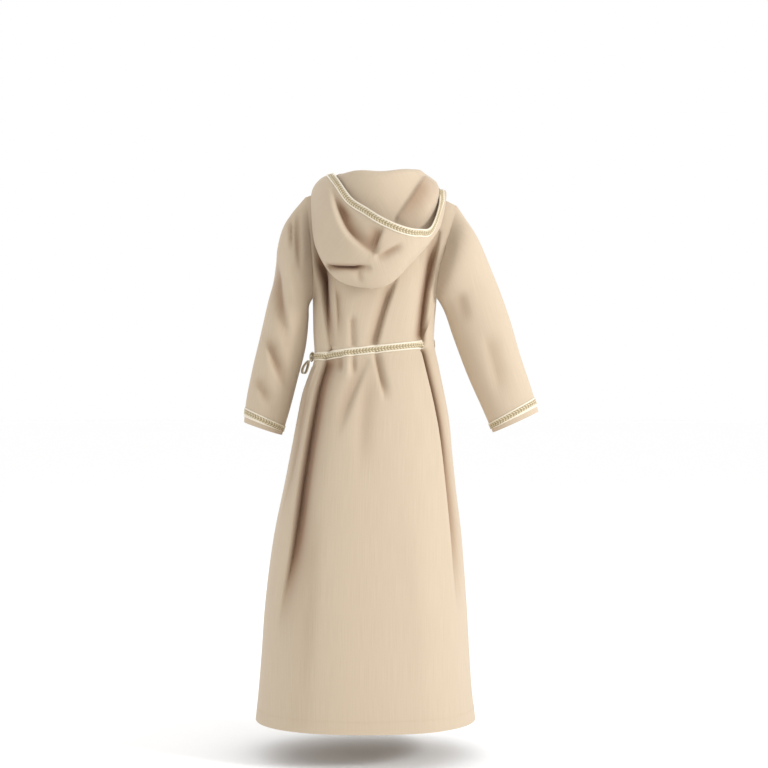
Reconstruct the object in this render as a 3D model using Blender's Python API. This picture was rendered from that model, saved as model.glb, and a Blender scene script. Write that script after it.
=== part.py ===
"""Child's hooded djellaba with a tie belt, in its worn form, open at neck, cuffs and hem.

Metres, +Z up. The back of the robe faces +Y and the wearer's left is +X. The origin lies at
the base of the neck, between the shoulders, where the robe is carried.
"""
import math
from collections import namedtuple

import bmesh
import bpy
import numpy as np
from mathutils.bvhtree import BVHTree

# Walls, gaps and tape
CLOTH = 0.0016
HOOD_CLOTH = 0.0012
SEAM_GAP = 0.0003
V_GAP = 0.003
TAPE_WIDTH = 0.0145
TAPE_WALL = 0.0014
CUFF_PLAIN = 0.009

# Facets
SHOULDER_COLUMNS = 6
NECK_COLUMNS = 14
YOKE_ROWS = 9
SLEEVE_ROWS = 15
HOOD_STAND_ROWS = 3
HOOD_INNER_ROWS = 6
HOOD_OUTER_ROWS = 7
CURVE_STEPS = 241
KNOT_SIDES, KNOT_RINGS = 14, 8
LOOP_STEPS = 18

# The belt lies a little lower at the wearer's left
BELT_Z = -0.2993
BELT_TILT = -0.111
BELT_SPREAD = 0.045

# Body sections, hem first. left and right are the outline, back and front the depths, and the
# seam angles tell how far each side seam lies behind the outline, in degrees.
Section = namedtuple("Section", "z left right back front seam_left seam_right")
BODY = [
    Section(-0.978, 0.231, -0.174, 0.172, -0.170, 14, 20),
    Section(-0.929, 0.226, -0.168, 0.167, -0.164, 14, 21),
    Section(-0.855, 0.220, -0.163, 0.159, -0.155, 15, 22),
    Section(-0.781, 0.215, -0.159, 0.151, -0.146, 15, 23),
    Section(-0.707, 0.207, -0.154, 0.143, -0.138, 16, 24),
    Section(-0.633, 0.196, -0.148, 0.135, -0.130, 17, 26),
    Section(-0.559, 0.181, -0.139, 0.127, -0.122, 18, 28),
    Section(-0.485, 0.1665, -0.1314, 0.118, -0.115, 19, 30),
    Section(-0.430, 0.156, -0.126, 0.111, -0.108, 20, 32),
    Section(-0.385, 0.147, -0.118, 0.103, -0.101, 21, 34),
    Section(-0.341, 0.134, -0.108, 0.094, -0.093, 22, 36),
    Section(-0.300, 0.1235, -0.0985, 0.084, -0.086, 24, 38),
    Section(-0.262, 0.1250, -0.0990, 0.089, -0.090, 18, 28),
    Section(-0.205, 0.1265, -0.1030, 0.092, -0.093, 6, 8),
]
BODY_ROWS = [-0.978, -0.945, -0.90, -0.85, -0.795, -0.74, -0.685, -0.63, -0.575, -0.52, -0.47,
             -0.425, -0.385, -0.35, -0.325, BELT_Z - TAPE_WIDTH / 2, BELT_Z,
             BELT_Z + TAPE_WIDTH / 2, -0.275, -0.255, -0.23]
UNDERARM_Z = -0.205
BOXINESS = 2.3

# Shoulder tips and the neckline, which is given round the neck from the back, in degrees
SHOULDER_TIP = {"left": (0.140, 0.0, -0.018), "right": (-0.1405, 0.0, -0.034)}
NeckPoint = namedtuple("NeckPoint", "azimuth radius z")
NECK = [
    NeckPoint(-180, 0.084, -0.085), NeckPoint(-150, 0.074, -0.048),
    NeckPoint(-120, 0.067, -0.015), NeckPoint(-90, 0.064, 0.004),
    NeckPoint(-45, 0.057, 0.003), NeckPoint(0, 0.052, -0.004),
    NeckPoint(45, 0.058, 0.004), NeckPoint(90, 0.068, 0.008),
    NeckPoint(120, 0.069, -0.011), NeckPoint(150, 0.075, -0.046),
    NeckPoint(180, 0.084, -0.085),
]

# How the yoke curves from the underarm up to the shoulder seam or the neck: the way it leaves
# the underarm, and the way down from its top, at the armholes and in the middle. The x of an
# armhole is the wearer's left one. Towards the middle of the neck, neck is added as well.
Yoke = namedtuple("Yoke", "edge_rise middle_rise edge_drop middle_drop neck")
YOKE = {
    "back": Yoke((-0.004, 0.030, 0.045), (0, 0.006, 0.065), (-0.010, 0.045, -0.040),
                 (0, 0.038, -0.018), (0, 0, -0.022)),
    "front": Yoke((-0.010, -0.038, 0.042), (0, -0.006, 0.050), (-0.016, -0.042, -0.036),
                  (0, -0.044, -0.018), (0, 0.038, -0.014)),
}
YOKE_EDGE_POWER = 3.5

# Folds of the robe's body. Each runs through its (x, z) points on the side it names, with a
# depth that is negative for a valley, and a width.
Fold = namedtuple("Fold", "side depth width path")
BODY_FOLDS = [
    Fold("back", -0.022, 0.013, [(0.118, -0.095), (0.110, -0.155), (0.097, -0.245),
                                 (0.091, -0.292)]),
    Fold("back", -0.019, 0.014, [(0.093, -0.300), (0.104, -0.340), (0.134, -0.523),
                                 (0.150, -0.688), (0.178, -0.840)]),
    Fold("back", -0.019, 0.011, [(-0.104, -0.130), (-0.096, -0.185), (-0.084, -0.240),
                                 (-0.076, -0.292)]),
    Fold("back", -0.005, 0.009, [(-0.074, -0.298), (-0.103, -0.420), (-0.130, -0.630),
                                 (-0.138, -0.730)]),
    Fold("back", -0.005, 0.008, [(0.078, -0.222), (0.077, -0.292)]),
    Fold("back", -0.004, 0.012, [(-0.027, -0.170), (-0.004, -0.240), (0.009, -0.292)]),
    Fold("back", -0.005, 0.009, [(0.011, -0.303), (-0.007, -0.390)]),
    Fold("back", -0.004, 0.015, [(0.043, -0.360), (0.088, -0.455)]),
    Fold("back", 0.003, 0.008, [(0.061, -0.303), (0.060, -0.350)]),
    Fold("front", -0.010, 0.013, [(0.060, -0.100), (0.066, -0.200), (0.058, -0.292)]),
    Fold("front", -0.009, 0.013, [(-0.055, -0.110), (-0.060, -0.200), (-0.048, -0.292)]),
    Fold("front", -0.006, 0.010, [(0.008, -0.190), (0.005, -0.292)]),
    Fold("front", -0.009, 0.014, [(0.060, -0.303), (0.082, -0.480), (0.100, -0.700)]),
    Fold("front", -0.008, 0.014, [(-0.046, -0.303), (-0.062, -0.450), (-0.080, -0.640)]),
    Fold("front", -0.005, 0.011, [(0.010, -0.303), (0.014, -0.420)]),
    Fold("front", 0.006, 0.030, [(0.020, -0.560), (0.024, -0.978)]),
    Fold("front", -0.006, 0.026, [(0.120, -0.700), (0.150, -0.978)]),
    Fold("front", -0.006, 0.026, [(-0.075, -0.740), (-0.100, -0.978)]),
]
# A fold fades away round the side of the robe, and towards its own ends
FOLD_SIDE_START, FOLD_SIDE_SPAN = -0.004, 0.024
FOLD_END, FOLD_END_POWER = 0.35, 0.6

# Sleeve sections below the armhole: where the outer and inner outline lie, and the depth
SleeveRow = namedtuple("SleeveRow", "outer_x outer_z inner_x inner_z depth y")
SLEEVE = {
    "left": [
        SleeveRow(0.1700, -0.046, 0.1325, -0.218, 0.104, 0.008),
        SleeveRow(0.2035, -0.190, 0.1335, -0.238, 0.100, 0.004),
        SleeveRow(0.2238, -0.274, 0.1390, -0.290, 0.096, -0.008),
        SleeveRow(0.2405, -0.341, 0.1560, -0.358, 0.090, -0.018),
        SleeveRow(0.2530, -0.405, 0.1740, -0.424, 0.082, -0.028),
        SleeveRow(0.2560, -0.434, 0.1850, -0.458, 0.078, -0.034),
    ],
    "right": [
        SleeveRow(-0.1590, -0.063, -0.1085, -0.213, 0.100, 0.008),
        SleeveRow(-0.2110, -0.170, -0.1135, -0.222, 0.082, 0.006),
        SleeveRow(-0.2365, -0.237, -0.1335, -0.276, 0.076, -0.003),
        SleeveRow(-0.2600, -0.315, -0.1630, -0.353, 0.070, -0.009),
        SleeveRow(-0.2790, -0.370, -0.1880, -0.408, 0.062, -0.015),
        SleeveRow(-0.2930, -0.414, -0.2080, -0.453, 0.058, -0.020),
    ],
}
SLEEVE_FOLDS = {
    "left": [
        Fold("back", -0.004, 0.009, [(0.205, -0.283), (0.170, -0.362)]),
        Fold("back", -0.003, 0.009, [(0.233, -0.355), (0.198, -0.402)]),
        Fold("back", -0.005, 0.006, [(0.150, -0.050), (0.147, -0.135)]),
        Fold("front", -0.006, 0.012, [(0.150, -0.150), (0.205, -0.290)]),
        Fold("front", -0.004, 0.010, [(0.160, -0.290), (0.220, -0.360)]),
    ],
    "right": [
        Fold("back", -0.003, 0.014, [(-0.148, -0.205), (-0.158, -0.260)]),
        Fold("front", -0.006, 0.012, [(-0.140, -0.140), (-0.215, -0.270)]),
        Fold("front", -0.004, 0.010, [(-0.165, -0.290), (-0.240, -0.340)]),
    ],
}

# Hood sections round the neck from the wearer's left front to the right front. Each rises
# from the neckline to a crest, falls to the fold at the bottom of the pouch, and comes back
# up on the outside to the trimmed edge. puff rounds the outer layer out.
HoodRow = namedtuple("HoodRow", "azimuth stand lean fold edge puff")
HOOD = [
    HoodRow(180, 0.010, 0.008, (0.007, -0.102, -0.062), (0.008, -0.108, -0.036), 0.001),
    HoodRow(150, 0.012, 0.009, (0.060, -0.096, -0.038), (0.046, -0.082, -0.010), 0.002),
    HoodRow(120, 0.016, 0.008, (0.106, -0.054, -0.010), (0.078, -0.044, 0.012), 0.006),
    HoodRow(90, 0.013, 0.008, (0.127, 0.002, -0.006), (0.087, 0.004, 0.027), 0.008),
    HoodRow(65, 0.013, 0.010, (0.127, 0.046, -0.052), (0.076, 0.058, 0.008), 0.012),
    HoodRow(45, 0.018, 0.012, (0.118, 0.086, -0.115), (0.053, 0.094, -0.027), 0.014),
    HoodRow(22, 0.022, 0.014, (0.082, 0.112, -0.174), (0.024, 0.120, -0.049), 0.012),
    HoodRow(0, 0.023, 0.016, (0.030, 0.122, -0.192), (-0.003, 0.136, -0.067), 0.012),
    HoodRow(-22, 0.023, 0.014, (-0.014, 0.122, -0.186), (-0.036, 0.138, -0.082), 0.010),
    HoodRow(-45, 0.022, 0.012, (-0.054, 0.114, -0.148), (-0.068, 0.124, -0.087), 0.006),
    HoodRow(-65, 0.021, 0.009, (-0.090, 0.090, -0.106), (-0.092, 0.094, -0.077), 0.002),
    HoodRow(-78, 0.020, 0.007, (-0.109, 0.056, -0.074), (-0.108, 0.052, -0.040), 0.002),
    HoodRow(-90, 0.020, 0.006, (-0.116, 0.012, -0.014), (-0.101, 0.012, 0.003), 0.002),
    HoodRow(-120, 0.016, 0.006, (-0.100, -0.048, -0.018), (-0.080, -0.040, 0.008), 0.003),
    HoodRow(-150, 0.012, 0.008, (-0.058, -0.095, -0.040), (-0.045, -0.081, -0.010), 0.002),
    HoodRow(-180, 0.010, 0.008, (-0.007, -0.102, -0.062), (-0.008, -0.108, -0.036), 0.001),
]
HOOD_FOLDS = [
    Fold("back", -0.009, 0.009, [(0.088, -0.015), (0.073, -0.060), (0.057, -0.092),
                                 (0.036, -0.109), (0.012, -0.125)]),
    Fold("back", 0.005, 0.012, [(0.100, -0.110), (0.060, -0.130), (0.020, -0.140)]),
    Fold("back", -0.010, 0.006, [(0.094, -0.146), (0.060, -0.149), (0.025, -0.155)]),
    Fold("back", -0.004, 0.006, [(0.000, -0.135), (-0.043, -0.116)]),
]
# How near the hood may come to the robe before and after its fold, and its layers to each
# other. They lie closer towards the front, where its border is narrow.
HOOD_UNDER = 0.0012
HOOD_OVER = 0.0075
HOOD_LAYERS = 0.0050
HOOD_FRONT_SHARE, HOOD_FRONT_GROWTH, HOOD_LAYER_POWER = 0.3, 4, 3
# The fold's roundness, and the shape of the standing part between neckline and crest
HOOD_ROUND = 0.0043
HOOD_TUCK = 0.95
HOOD_RISE_LEAN, HOOD_RISE_HEIGHT = 0.35, 0.62
HOOD_TAPE_CLEAR = 0.004

# Where two sewn pieces meet at a corner sharper than this, each keeps its own normals
CORNER_LEAST, CORNER_SPAN = 0.3, 0.2

# The tied ends of the belt at the wearer's left
TIE_COLUMN = 3
BELT_START = 4
KNOT_SIZE = (0.0045, 0.0130, 0.0095)
KNOT_TUCK = 0.75
KNOT_LIFT = 0.0006
END_LIFT = 0.0007
END_START = 0.2
END_APART = 0.0015
END_ROWS = {"belt_end_long": 6, "belt_end_short": 4}
LOOP_OUT = 0.0092
LOOP_BELOW = 0.0072
LOOP_TURN = math.radians(35)
LOOP_WIDTH = 0.009
LOOP_INNER = 0.004
LOOP_DROP = 0.027
LOOP_BAND = 0.009
LOOP_ROUND = 0.7


def smooth(at, places, values):
    """Read a table between its rows on a cubic curve."""
    places = np.asarray(places, float)
    values = np.asarray(values, float)
    slopes = np.gradient(values, places, axis=0)
    at = np.clip(at, places[0], places[-1])
    i = int(np.clip(np.searchsorted(places, at) - 1, 0, len(places) - 2))
    step = places[i + 1] - places[i]
    t = (at - places[i]) / step
    return ((1 + 2 * t) * (1 - t) ** 2 * values[i] + t * (1 - t) ** 2 * step * slopes[i]
            + t * t * (3 - 2 * t) * values[i + 1] + t * t * (t - 1) * step * slopes[i + 1])


def spline(points, count):
    """Points at even steps along a smooth curve."""
    points = np.asarray(points, float)
    chord = np.concatenate([[0], np.cumsum(np.linalg.norm(np.diff(points, axis=0), axis=1))])
    fine = np.array([smooth(at, chord, points) for at in np.linspace(0, chord[-1], CURVE_STEPS)])
    run = np.concatenate([[0], np.cumsum(np.linalg.norm(np.diff(fine, axis=0), axis=1))])
    stops = np.linspace(0, run[-1], count)
    return np.array([[np.interp(at, run, fine[:, axis]) for axis in range(3)] for at in stops])


def body_section(z):
    """The table row at a height."""
    heights = [row.z for row in BODY]
    return Section(*[smooth(z, heights, [row[i] for row in BODY]) for i in range(7)])


def body_point(z, degrees):
    """A point of the robe's body; 0 degrees is the wearer's left and 90 the back."""
    row = body_section(z)
    middle, half = (row.left + row.right) / 2, (row.left - row.right) / 2
    tilt = BELT_TILT * math.exp(-((z - BELT_Z) / BELT_SPREAD) ** 2)
    across, deep = math.cos(math.radians(degrees)), math.sin(math.radians(degrees))
    x = middle + half * math.copysign(abs(across) ** (2 / BOXINESS), across)
    depth = row.back if deep > 0 else -row.front
    y = depth * math.copysign(abs(deep) ** (2 / BOXINESS), deep)
    return np.array([x, y, z + tilt * x])


def neck_point(azimuth):
    places = [row.azimuth for row in NECK]
    radius = smooth(azimuth, places, [row.radius for row in NECK])
    height = smooth(azimuth, places, [row.z for row in NECK])
    turn = math.radians(azimuth)
    return np.array([radius * math.sin(turn), radius * math.cos(turn), height])


def panel_columns(side):
    """For each column of a panel: its share across, and its point on shoulder or neck."""
    count = 2 * SHOULDER_COLUMNS + NECK_COLUMNS
    middle = 0 if side == "back" else 180
    columns = []
    for k in range(count + 1):
        if k < SHOULDER_COLUMNS:
            share = k / SHOULDER_COLUMNS
            top = (1 - share) * np.array(SHOULDER_TIP["left"]) + share * neck_point(90)
            azimuth = 90
        elif k > count - SHOULDER_COLUMNS:
            share = (count - k) / SHOULDER_COLUMNS
            top = (1 - share) * np.array(SHOULDER_TIP["right"]) + share * neck_point(-90)
            azimuth = -90
        else:
            share = 1 - 2 * (k - SHOULDER_COLUMNS) / NECK_COLUMNS
            turn = middle + (90 - middle) * abs(share)
            azimuth = math.copysign(turn, share) if share else turn
            top = neck_point(azimuth)
        columns.append((k / count, top, azimuth))
    return columns


def panel(side):
    """Outer points of the back or front panel, rows from the hem up, columns from left."""
    columns = panel_columns(side)
    rows = []
    for z in BODY_ROWS + [UNDERARM_Z]:
        row = body_section(z)
        start = row.seam_left
        end = 180 - row.seam_right if side == "back" else -180 - row.seam_right
        rows.append([body_point(z, start + (end - start) * share) for share, _, _ in columns])
    under = rows[-1]
    shape = YOKE[side]
    yoke = []
    for (share, top, azimuth), low in zip(columns, under):
        edge = abs(2 * share - 1) ** YOKE_EDGE_POWER
        mirror = np.array([1 if share < 0.5 else -1, 1, 1])
        round_neck = abs(azimuth) / 90
        if side == "back":
            amount = np.array([0, 0, min(1, 2 * (1 - round_neck))])
        else:
            amount = np.array([0, max(0, round_neck - 1), min(1, 2 * (1 - abs(1 - round_neck)))])
        rise = edge * mirror * shape.edge_rise + (1 - edge) * np.array(shape.middle_rise)
        drop = edge * mirror * shape.edge_drop
        drop = drop + (1 - edge) * (shape.middle_drop + amount * shape.neck)
        t = np.linspace(0, 1, YOKE_ROWS + 1)[1:, None]
        yoke.append((1 - t) ** 3 * low + 3 * t * (1 - t) ** 2 * (low + rise)
                    + 3 * t * t * (1 - t) * (top + drop) + t ** 3 * top)
    rows += list(np.stack(yoke, axis=1))
    return np.array(rows)


def fold_depth(point, folds):
    """How far the folds push a point out, from its distance to each fold's path."""
    total = 0.0
    for fold in folds:
        toward = point[1] if fold.side == "back" else -point[1]
        side = np.clip((toward - FOLD_SIDE_START) / FOLD_SIDE_SPAN, 0, 1)
        if side == 0:
            continue
        place = np.array([point[0], point[2]])
        path = np.array(fold.path)
        steps = np.linalg.norm(np.diff(path, axis=0), axis=1)
        best, along = 1.0, 0.0
        for i, step in enumerate(steps):
            t = np.dot(place - path[i], path[i + 1] - path[i]) / step ** 2
            t = np.clip(t, 0, 1)
            gap = np.linalg.norm(place - path[i] - t * (path[i + 1] - path[i]))
            if gap < best:
                best, along = gap, (steps[:i].sum() + t * step) / steps.sum()
        ends = FOLD_END + (1 - FOLD_END) * math.sin(math.pi * along) ** FOLD_END_POWER
        total += fold.depth * ends * side * math.exp(-(best / fold.width) ** 2)
    return total


def armhole(back, front, side):
    """The closed ring of an armhole, from the underarm up the back and down the front."""
    column = 0 if side == "left" else -1
    first = len(BODY_ROWS)
    up = back[first:, column]
    down = front[first:, column][::-1]
    return np.vstack([up, down[1:-1]])


def sleeve(ring, side):
    """Outer points of a sleeve: rows from the armhole down, columns round the arm."""
    count = len(ring)
    half = count // 2
    rings = [ring]
    for row in SLEEVE[side]:
        outer = np.array([row.outer_x, row.y, row.outer_z])
        inner = np.array([row.inner_x, row.y, row.inner_z])
        middle, reach = (outer + inner) / 2, (outer - inner) / 2
        points = []
        for k in range(count):
            turn = math.pi * k / half
            deep = np.array([0, row.depth / 2, 0])
            points.append(middle - reach * math.cos(turn) + deep * math.sin(turn))
        rings.append(np.array(points))
    columns = [spline([one[k] for one in rings], SLEEVE_ROWS) for k in range(count)]
    grid = np.array(columns).transpose(1, 0, 2)
    last, before = grid[-1], grid[-2]
    along = (last - before) / np.linalg.norm(last - before, axis=1)[:, None]
    tape_rows = [last - along * (CUFF_PLAIN + TAPE_WIDTH), last - along * CUFF_PLAIN, last]
    return np.vstack([grid[:-2], tape_rows])


def hood(shell):
    """Outer points of the hood: rows from the neckline to the trimmed edge."""
    places = [-row.azimuth for row in HOOD]
    count = 2 * NECK_COLUMNS
    columns = []
    for k in range(count + 1):
        azimuth = 180 - 360 * k / count
        stand, lean, puff = [smooth(-azimuth, places, [row[i] for row in HOOD])
                             for i in (1, 2, 5)]
        fold = smooth(-azimuth, places, [row.fold for row in HOOD])
        edge = smooth(-azimuth, places, [row.edge for row in HOOD])
        base = neck_point(azimuth)
        turn = math.radians(azimuth)
        out = np.array([math.sin(turn), math.cos(turn), 0])
        crest = base + out * lean + np.array([0, 0, stand])
        lift = np.array(shell.find_nearest(fold)[1])
        back_in = (crest - fold) / np.linalg.norm(crest - fold) * HOOD_ROUND * HOOD_TUCK
        turn_in = fold - lift * HOOD_ROUND + back_in
        turn_out = fold + lift * HOOD_ROUND + back_in
        middle = (crest + turn_in) / 2
        outer = (turn_out + edge) / 2 + lift * puff
        rise = base + out * lean * HOOD_RISE_LEAN + np.array([0, 0, stand * HOOD_RISE_HEIGHT])
        turn_row = HOOD_STAND_ROWS + HOOD_INNER_ROWS
        stops = [(0, 0), (2, HOOD_STAND_ROWS), (4, turn_row), (5, turn_row + 1),
                 (6, turn_row + 2)]
        route = [base, rise, crest, middle, turn_in, fold, turn_out, outer, edge]
        columns.append(spline_rows(route, stops))
    return np.array(columns).transpose(1, 0, 2)


def spline_rows(points, stops):
    """Points along a curve: even steps between the stops, then up to the tape and the edge."""
    points = np.asarray(points, float)
    chord = np.concatenate([[0], np.cumsum(np.linalg.norm(np.diff(points, axis=0), axis=1))])
    samples = np.linspace(0, chord[-1], CURVE_STEPS)
    fine = np.array([smooth(at, chord, points) for at in samples])
    run = np.concatenate([[0], np.cumsum(np.linalg.norm(np.diff(fine, axis=0), axis=1))])
    marks = [np.interp(chord[point], samples, run) for point, _ in stops]
    rows = []
    for (low, high), (near, far) in zip(zip(marks, marks[1:]), zip(stops, stops[1:])):
        rows += list(np.linspace(low, high, far[1] - near[1] + 1)[:-1])
    tape_start = max(run[-1] - TAPE_WIDTH, marks[-1] + HOOD_TAPE_CLEAR)
    rows += list(np.linspace(marks[-1], tape_start, HOOD_OUTER_ROWS + 1)) + [run[-1]]
    return np.array([[np.interp(at, run, fine[:, axis]) for axis in range(3)] for at in rows])


def clear_of(grid, shell, low, side=1):
    """Push points out until they lie at least low[row, column] from the shell."""
    for i, row in enumerate(grid):
        for k, point in enumerate(row):
            place, normal, _, _ = shell.find_nearest(point)
            out = np.array(normal) * side
            gap = np.dot(np.array(point) - np.array(place), out)
            if gap < low[i, k]:
                grid[i, k] = point + out * (low[i, k] - gap)
    return grid


def own_normals(grid, closed):
    """Unit normals of one piece at its points."""
    rows, columns = grid.shape[:2]
    total = np.zeros(grid.shape)
    for i in range(rows - 1):
        for k in range(columns if closed else columns - 1):
            k2 = (k + 1) % columns
            face = np.cross(grid[i + 1, k2] - grid[i, k], grid[i + 1, k] - grid[i, k2])
            for a, b in ((i, k), (i, k2), (i + 1, k2), (i + 1, k)):
                total[a, b] += face
    return total / np.maximum(np.linalg.norm(total, axis=2, keepdims=True), 1e-12)


def shared_normals(grids):
    """Normals that agree where pieces meet, except across a sharp inward corner."""
    own = [own_normals(grid, closed) for grid, closed in grids]
    found = {}
    for (grid, _), normals in zip(grids, own):
        for row, row_normals in zip(grid, normals):
            for point, normal in zip(row, row_normals):
                key = tuple(np.round(point, 6))
                found[key] = found.get(key, np.zeros(3)) + normal
    result = []
    for (grid, _), normals in zip(grids, own):
        mixed = normals.copy()
        for i, row in enumerate(grid):
            for k, point in enumerate(row):
                both = found[tuple(np.round(point, 6))]
                both = both / max(np.linalg.norm(both), 1e-9)
                agreement = np.dot(both, normals[i, k])
                share = np.clip((agreement - CORNER_LEAST) / CORNER_SPAN, 0, 1)
                near = grid[max(i - 1, 0):i + 2, max(k - 1, 0):k + 2].reshape(-1, 3)
                if np.dot(near.mean(axis=0) - point, both) < 0:
                    share = 1
                blend = both * share + normals[i, k] * (1 - share)
                mixed[i, k] = blend / np.linalg.norm(blend)
        result.append(mixed)
    return result


def sewn_fade(shape, closed):
    """Folds die out towards the armholes, the neck and the shoulder seams."""
    fade = np.ones(shape)
    if closed:
        fade[0], fade[1] = 0, 0.5
        return fade
    first = len(BODY_ROWS)
    fade[first:, [0, -1]] = 0
    fade[first:, [1, -2]] = 0.45
    fade[-1], fade[-2] = 0, 0.5
    return fade


def shell_faces(grids):
    """Vertices and triangles of several grids together."""
    points, faces = [], []
    for grid, closed in grids:
        rows, columns = grid.shape[:2]
        start = len(points)
        points += [tuple(point) for row in grid for point in row]
        for i in range(rows - 1):
            for k in range(columns if closed else columns - 1):
                k2 = (k + 1) % columns
                low, high = start + i * columns, start + (i + 1) * columns
                faces += [(low + k, low + k2, high + k2), (low + k, high + k2, high + k)]
    return points, faces


def inset(grid, first_row=0, last_row=0, first_column=0, last_column=0):
    """Draw a piece's borders back by the distances given."""
    grid = grid.copy()

    def step(border, inner, shrink):
        way = inner - border
        return border + shrink * way / np.linalg.norm(way, axis=1, keepdims=True)

    if first_row:
        grid[0] = step(grid[0], grid[1], first_row)
    if last_row:
        grid[-1] = step(grid[-1], grid[-2], last_row)
    if first_column:
        grid[:, 0] = step(grid[:, 0], grid[:, 1], first_column)
    if last_column:
        grid[:, -1] = step(grid[:, -1], grid[:, -2], last_column)
    return grid


def material(name, colour, roughness, metallic=0.0):
    made = bpy.data.materials.new(name)
    made.use_nodes = True
    shader = made.node_tree.nodes["Principled BSDF"]
    shader.inputs["Base Color"].default_value = (*colour, 1)
    shader.inputs["Roughness"].default_value = roughness
    shader.inputs["Metallic"].default_value = metallic
    return made


def wall(name, outer, inner, closed, finish):
    """A solid between two grids of points."""
    rows, columns = outer.shape[:2]
    mesh = bmesh.new()
    skins = []
    for grid in (outer, inner):
        skins.append([[mesh.verts.new(point) for point in row] for row in grid])
    spans = columns if closed else columns - 1
    for i in range(rows - 1):
        for k in range(spans):
            k2 = (k + 1) % columns
            for skin, turn in ((skins[0], 1), (skins[1], -1)):
                corners = [skin[i][k], skin[i][k2], skin[i + 1][k2], skin[i + 1][k]]
                mesh.faces.new(corners[::turn])
    rims = [[(0, k), (0, (k + 1) % columns)] for k in range(spans)]
    rims += [[(rows - 1, (k + 1) % columns), (rows - 1, k)] for k in range(spans)]
    if not closed:
        rims += [[(i + 1, 0), (i, 0)] for i in range(rows - 1)]
        rims += [[(i, columns - 1), (i + 1, columns - 1)] for i in range(rows - 1)]
    for (i, k), (i2, k2) in rims:
        mesh.faces.new([skins[0][i2][k2], skins[0][i][k], skins[1][i][k], skins[1][i2][k2]])
    bmesh.ops.triangulate(mesh, faces=mesh.faces)
    bmesh.ops.recalc_face_normals(mesh, faces=mesh.faces)
    data = bpy.data.meshes.new(name)
    mesh.to_mesh(data)
    mesh.free()
    data.shade_smooth()
    data.set_sharp_from_angle(angle=math.radians(50))
    piece = bpy.data.objects.new(name, data)
    piece.data.materials.append(finish)
    bpy.context.collection.objects.link(piece)
    return piece


def tape(name, points, normals, closed, finish, lift=SEAM_GAP):
    """A flat tape that lies on the points of the cloth, moved out."""
    return wall(name, points + normals * (lift + TAPE_WALL), points + normals * lift, closed,
                finish)


def knot(centre, out, along, finish):
    """The knot of the belt: a flattened round lump."""
    mesh = bmesh.new()
    bmesh.ops.create_uvsphere(mesh, u_segments=KNOT_SIDES, v_segments=KNOT_RINGS, radius=1)
    up = np.cross(along, out)
    for vert in mesh.verts:
        x, y, z = vert.co
        vert.co = centre + out * x * KNOT_SIZE[0] + along * y * KNOT_SIZE[1] + up * z * KNOT_SIZE[2]
    mesh.normal_update()
    bmesh.ops.recalc_face_normals(mesh, faces=mesh.faces)
    bmesh.ops.triangulate(mesh, faces=mesh.faces)
    data = bpy.data.meshes.new("belt_knot")
    mesh.to_mesh(data)
    mesh.free()
    data.shade_smooth()
    piece = bpy.data.objects.new("belt_knot", data)
    data.materials.append(finish)
    bpy.context.collection.objects.link(piece)


def bow_loop(top, down, finish):
    """The bow's loop: a narrow band bent into a drop that hangs beside the knot."""
    face = np.array([math.cos(LOOP_TURN), math.sin(LOOP_TURN), 0])
    across = np.array([-math.sin(LOOP_TURN), math.cos(LOOP_TURN), 0])
    grids = []
    for shrink in (0, TAPE_WALL):
        ring = []
        for i in range(LOOP_STEPS):
            turn = 2 * math.pi * (i + 0.5) / LOOP_STEPS
            wide = math.sin(turn) * math.sin(turn / 2) ** LOOP_ROUND
            wide *= (LOOP_WIDTH if turn < math.pi else LOOP_INNER) - shrink
            drop = (LOOP_DROP / 2 - shrink) * (1 - math.cos(turn)) + shrink
            centre = top + face * wide + down * drop
            ring.append([centre - across * LOOP_BAND / 2, centre + across * LOOP_BAND / 2])
        grids.append(np.array(ring).transpose(1, 0, 2))
    wall("belt_bow_loop", grids[0], grids[1], True, finish)


def body_and_sleeves():
    """Folded grids of the back, the front and both sleeves, and whether each is a tube."""
    back, front = panel("back"), panel("front")
    arms = {side: sleeve(armhole(back, front, side), side) for side in ("left", "right")}
    pieces = [(back, False), (front[:, ::-1], False), (arms["left"], True),
              (arms["right"][:, ::-1], True)]
    tables = [BODY_FOLDS, BODY_FOLDS, SLEEVE_FOLDS["left"], SLEEVE_FOLDS["right"]]
    placed = []
    for (grid, closed), normal, table in zip(pieces, shared_normals(pieces), tables):
        depth = np.array([[fold_depth(point, table) for point in row] for row in grid])
        depth = depth * sewn_fade(depth.shape, closed)
        placed.append((grid + normal * depth[:, :, None], closed))
    return placed


def hood_on(robe):
    """The hood laid on the robe, its layers kept apart, with its own folds."""
    shell = BVHTree.FromPolygons(*shell_faces(robe))
    turn = HOOD_STAND_ROWS + HOOD_INNER_ROWS
    low = [0] + [HOOD_UNDER] * turn + [(HOOD_UNDER + HOOD_OVER) / 2]
    low += [HOOD_OVER] * (HOOD_OUTER_ROWS + 2)
    share = 1 - np.abs(np.arange(-NECK_COLUMNS, NECK_COLUMNS + 1)) / NECK_COLUMNS
    rolled = np.clip(HOOD_FRONT_SHARE + share * HOOD_FRONT_GROWTH, 0, 1)
    cape = clear_of(hood(shell), shell, np.outer(low, rolled))
    under = BVHTree.FromPolygons(*shell_faces([(cape[HOOD_STAND_ROWS - 1:turn + 1], False)]))
    apart = np.outer(np.full(HOOD_OUTER_ROWS + 2, HOOD_LAYERS), rolled ** HOOD_LAYER_POWER)
    cape[turn + 2:] = clear_of(cape[turn + 2:], under, apart, -1)
    depth = np.array([[fold_depth(point, HOOD_FOLDS) for point in row] for row in cape])
    depth[:turn + 1] = 0
    return cape + shared_normals([(cape, False)])[0] * depth[:, :, None]


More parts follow.
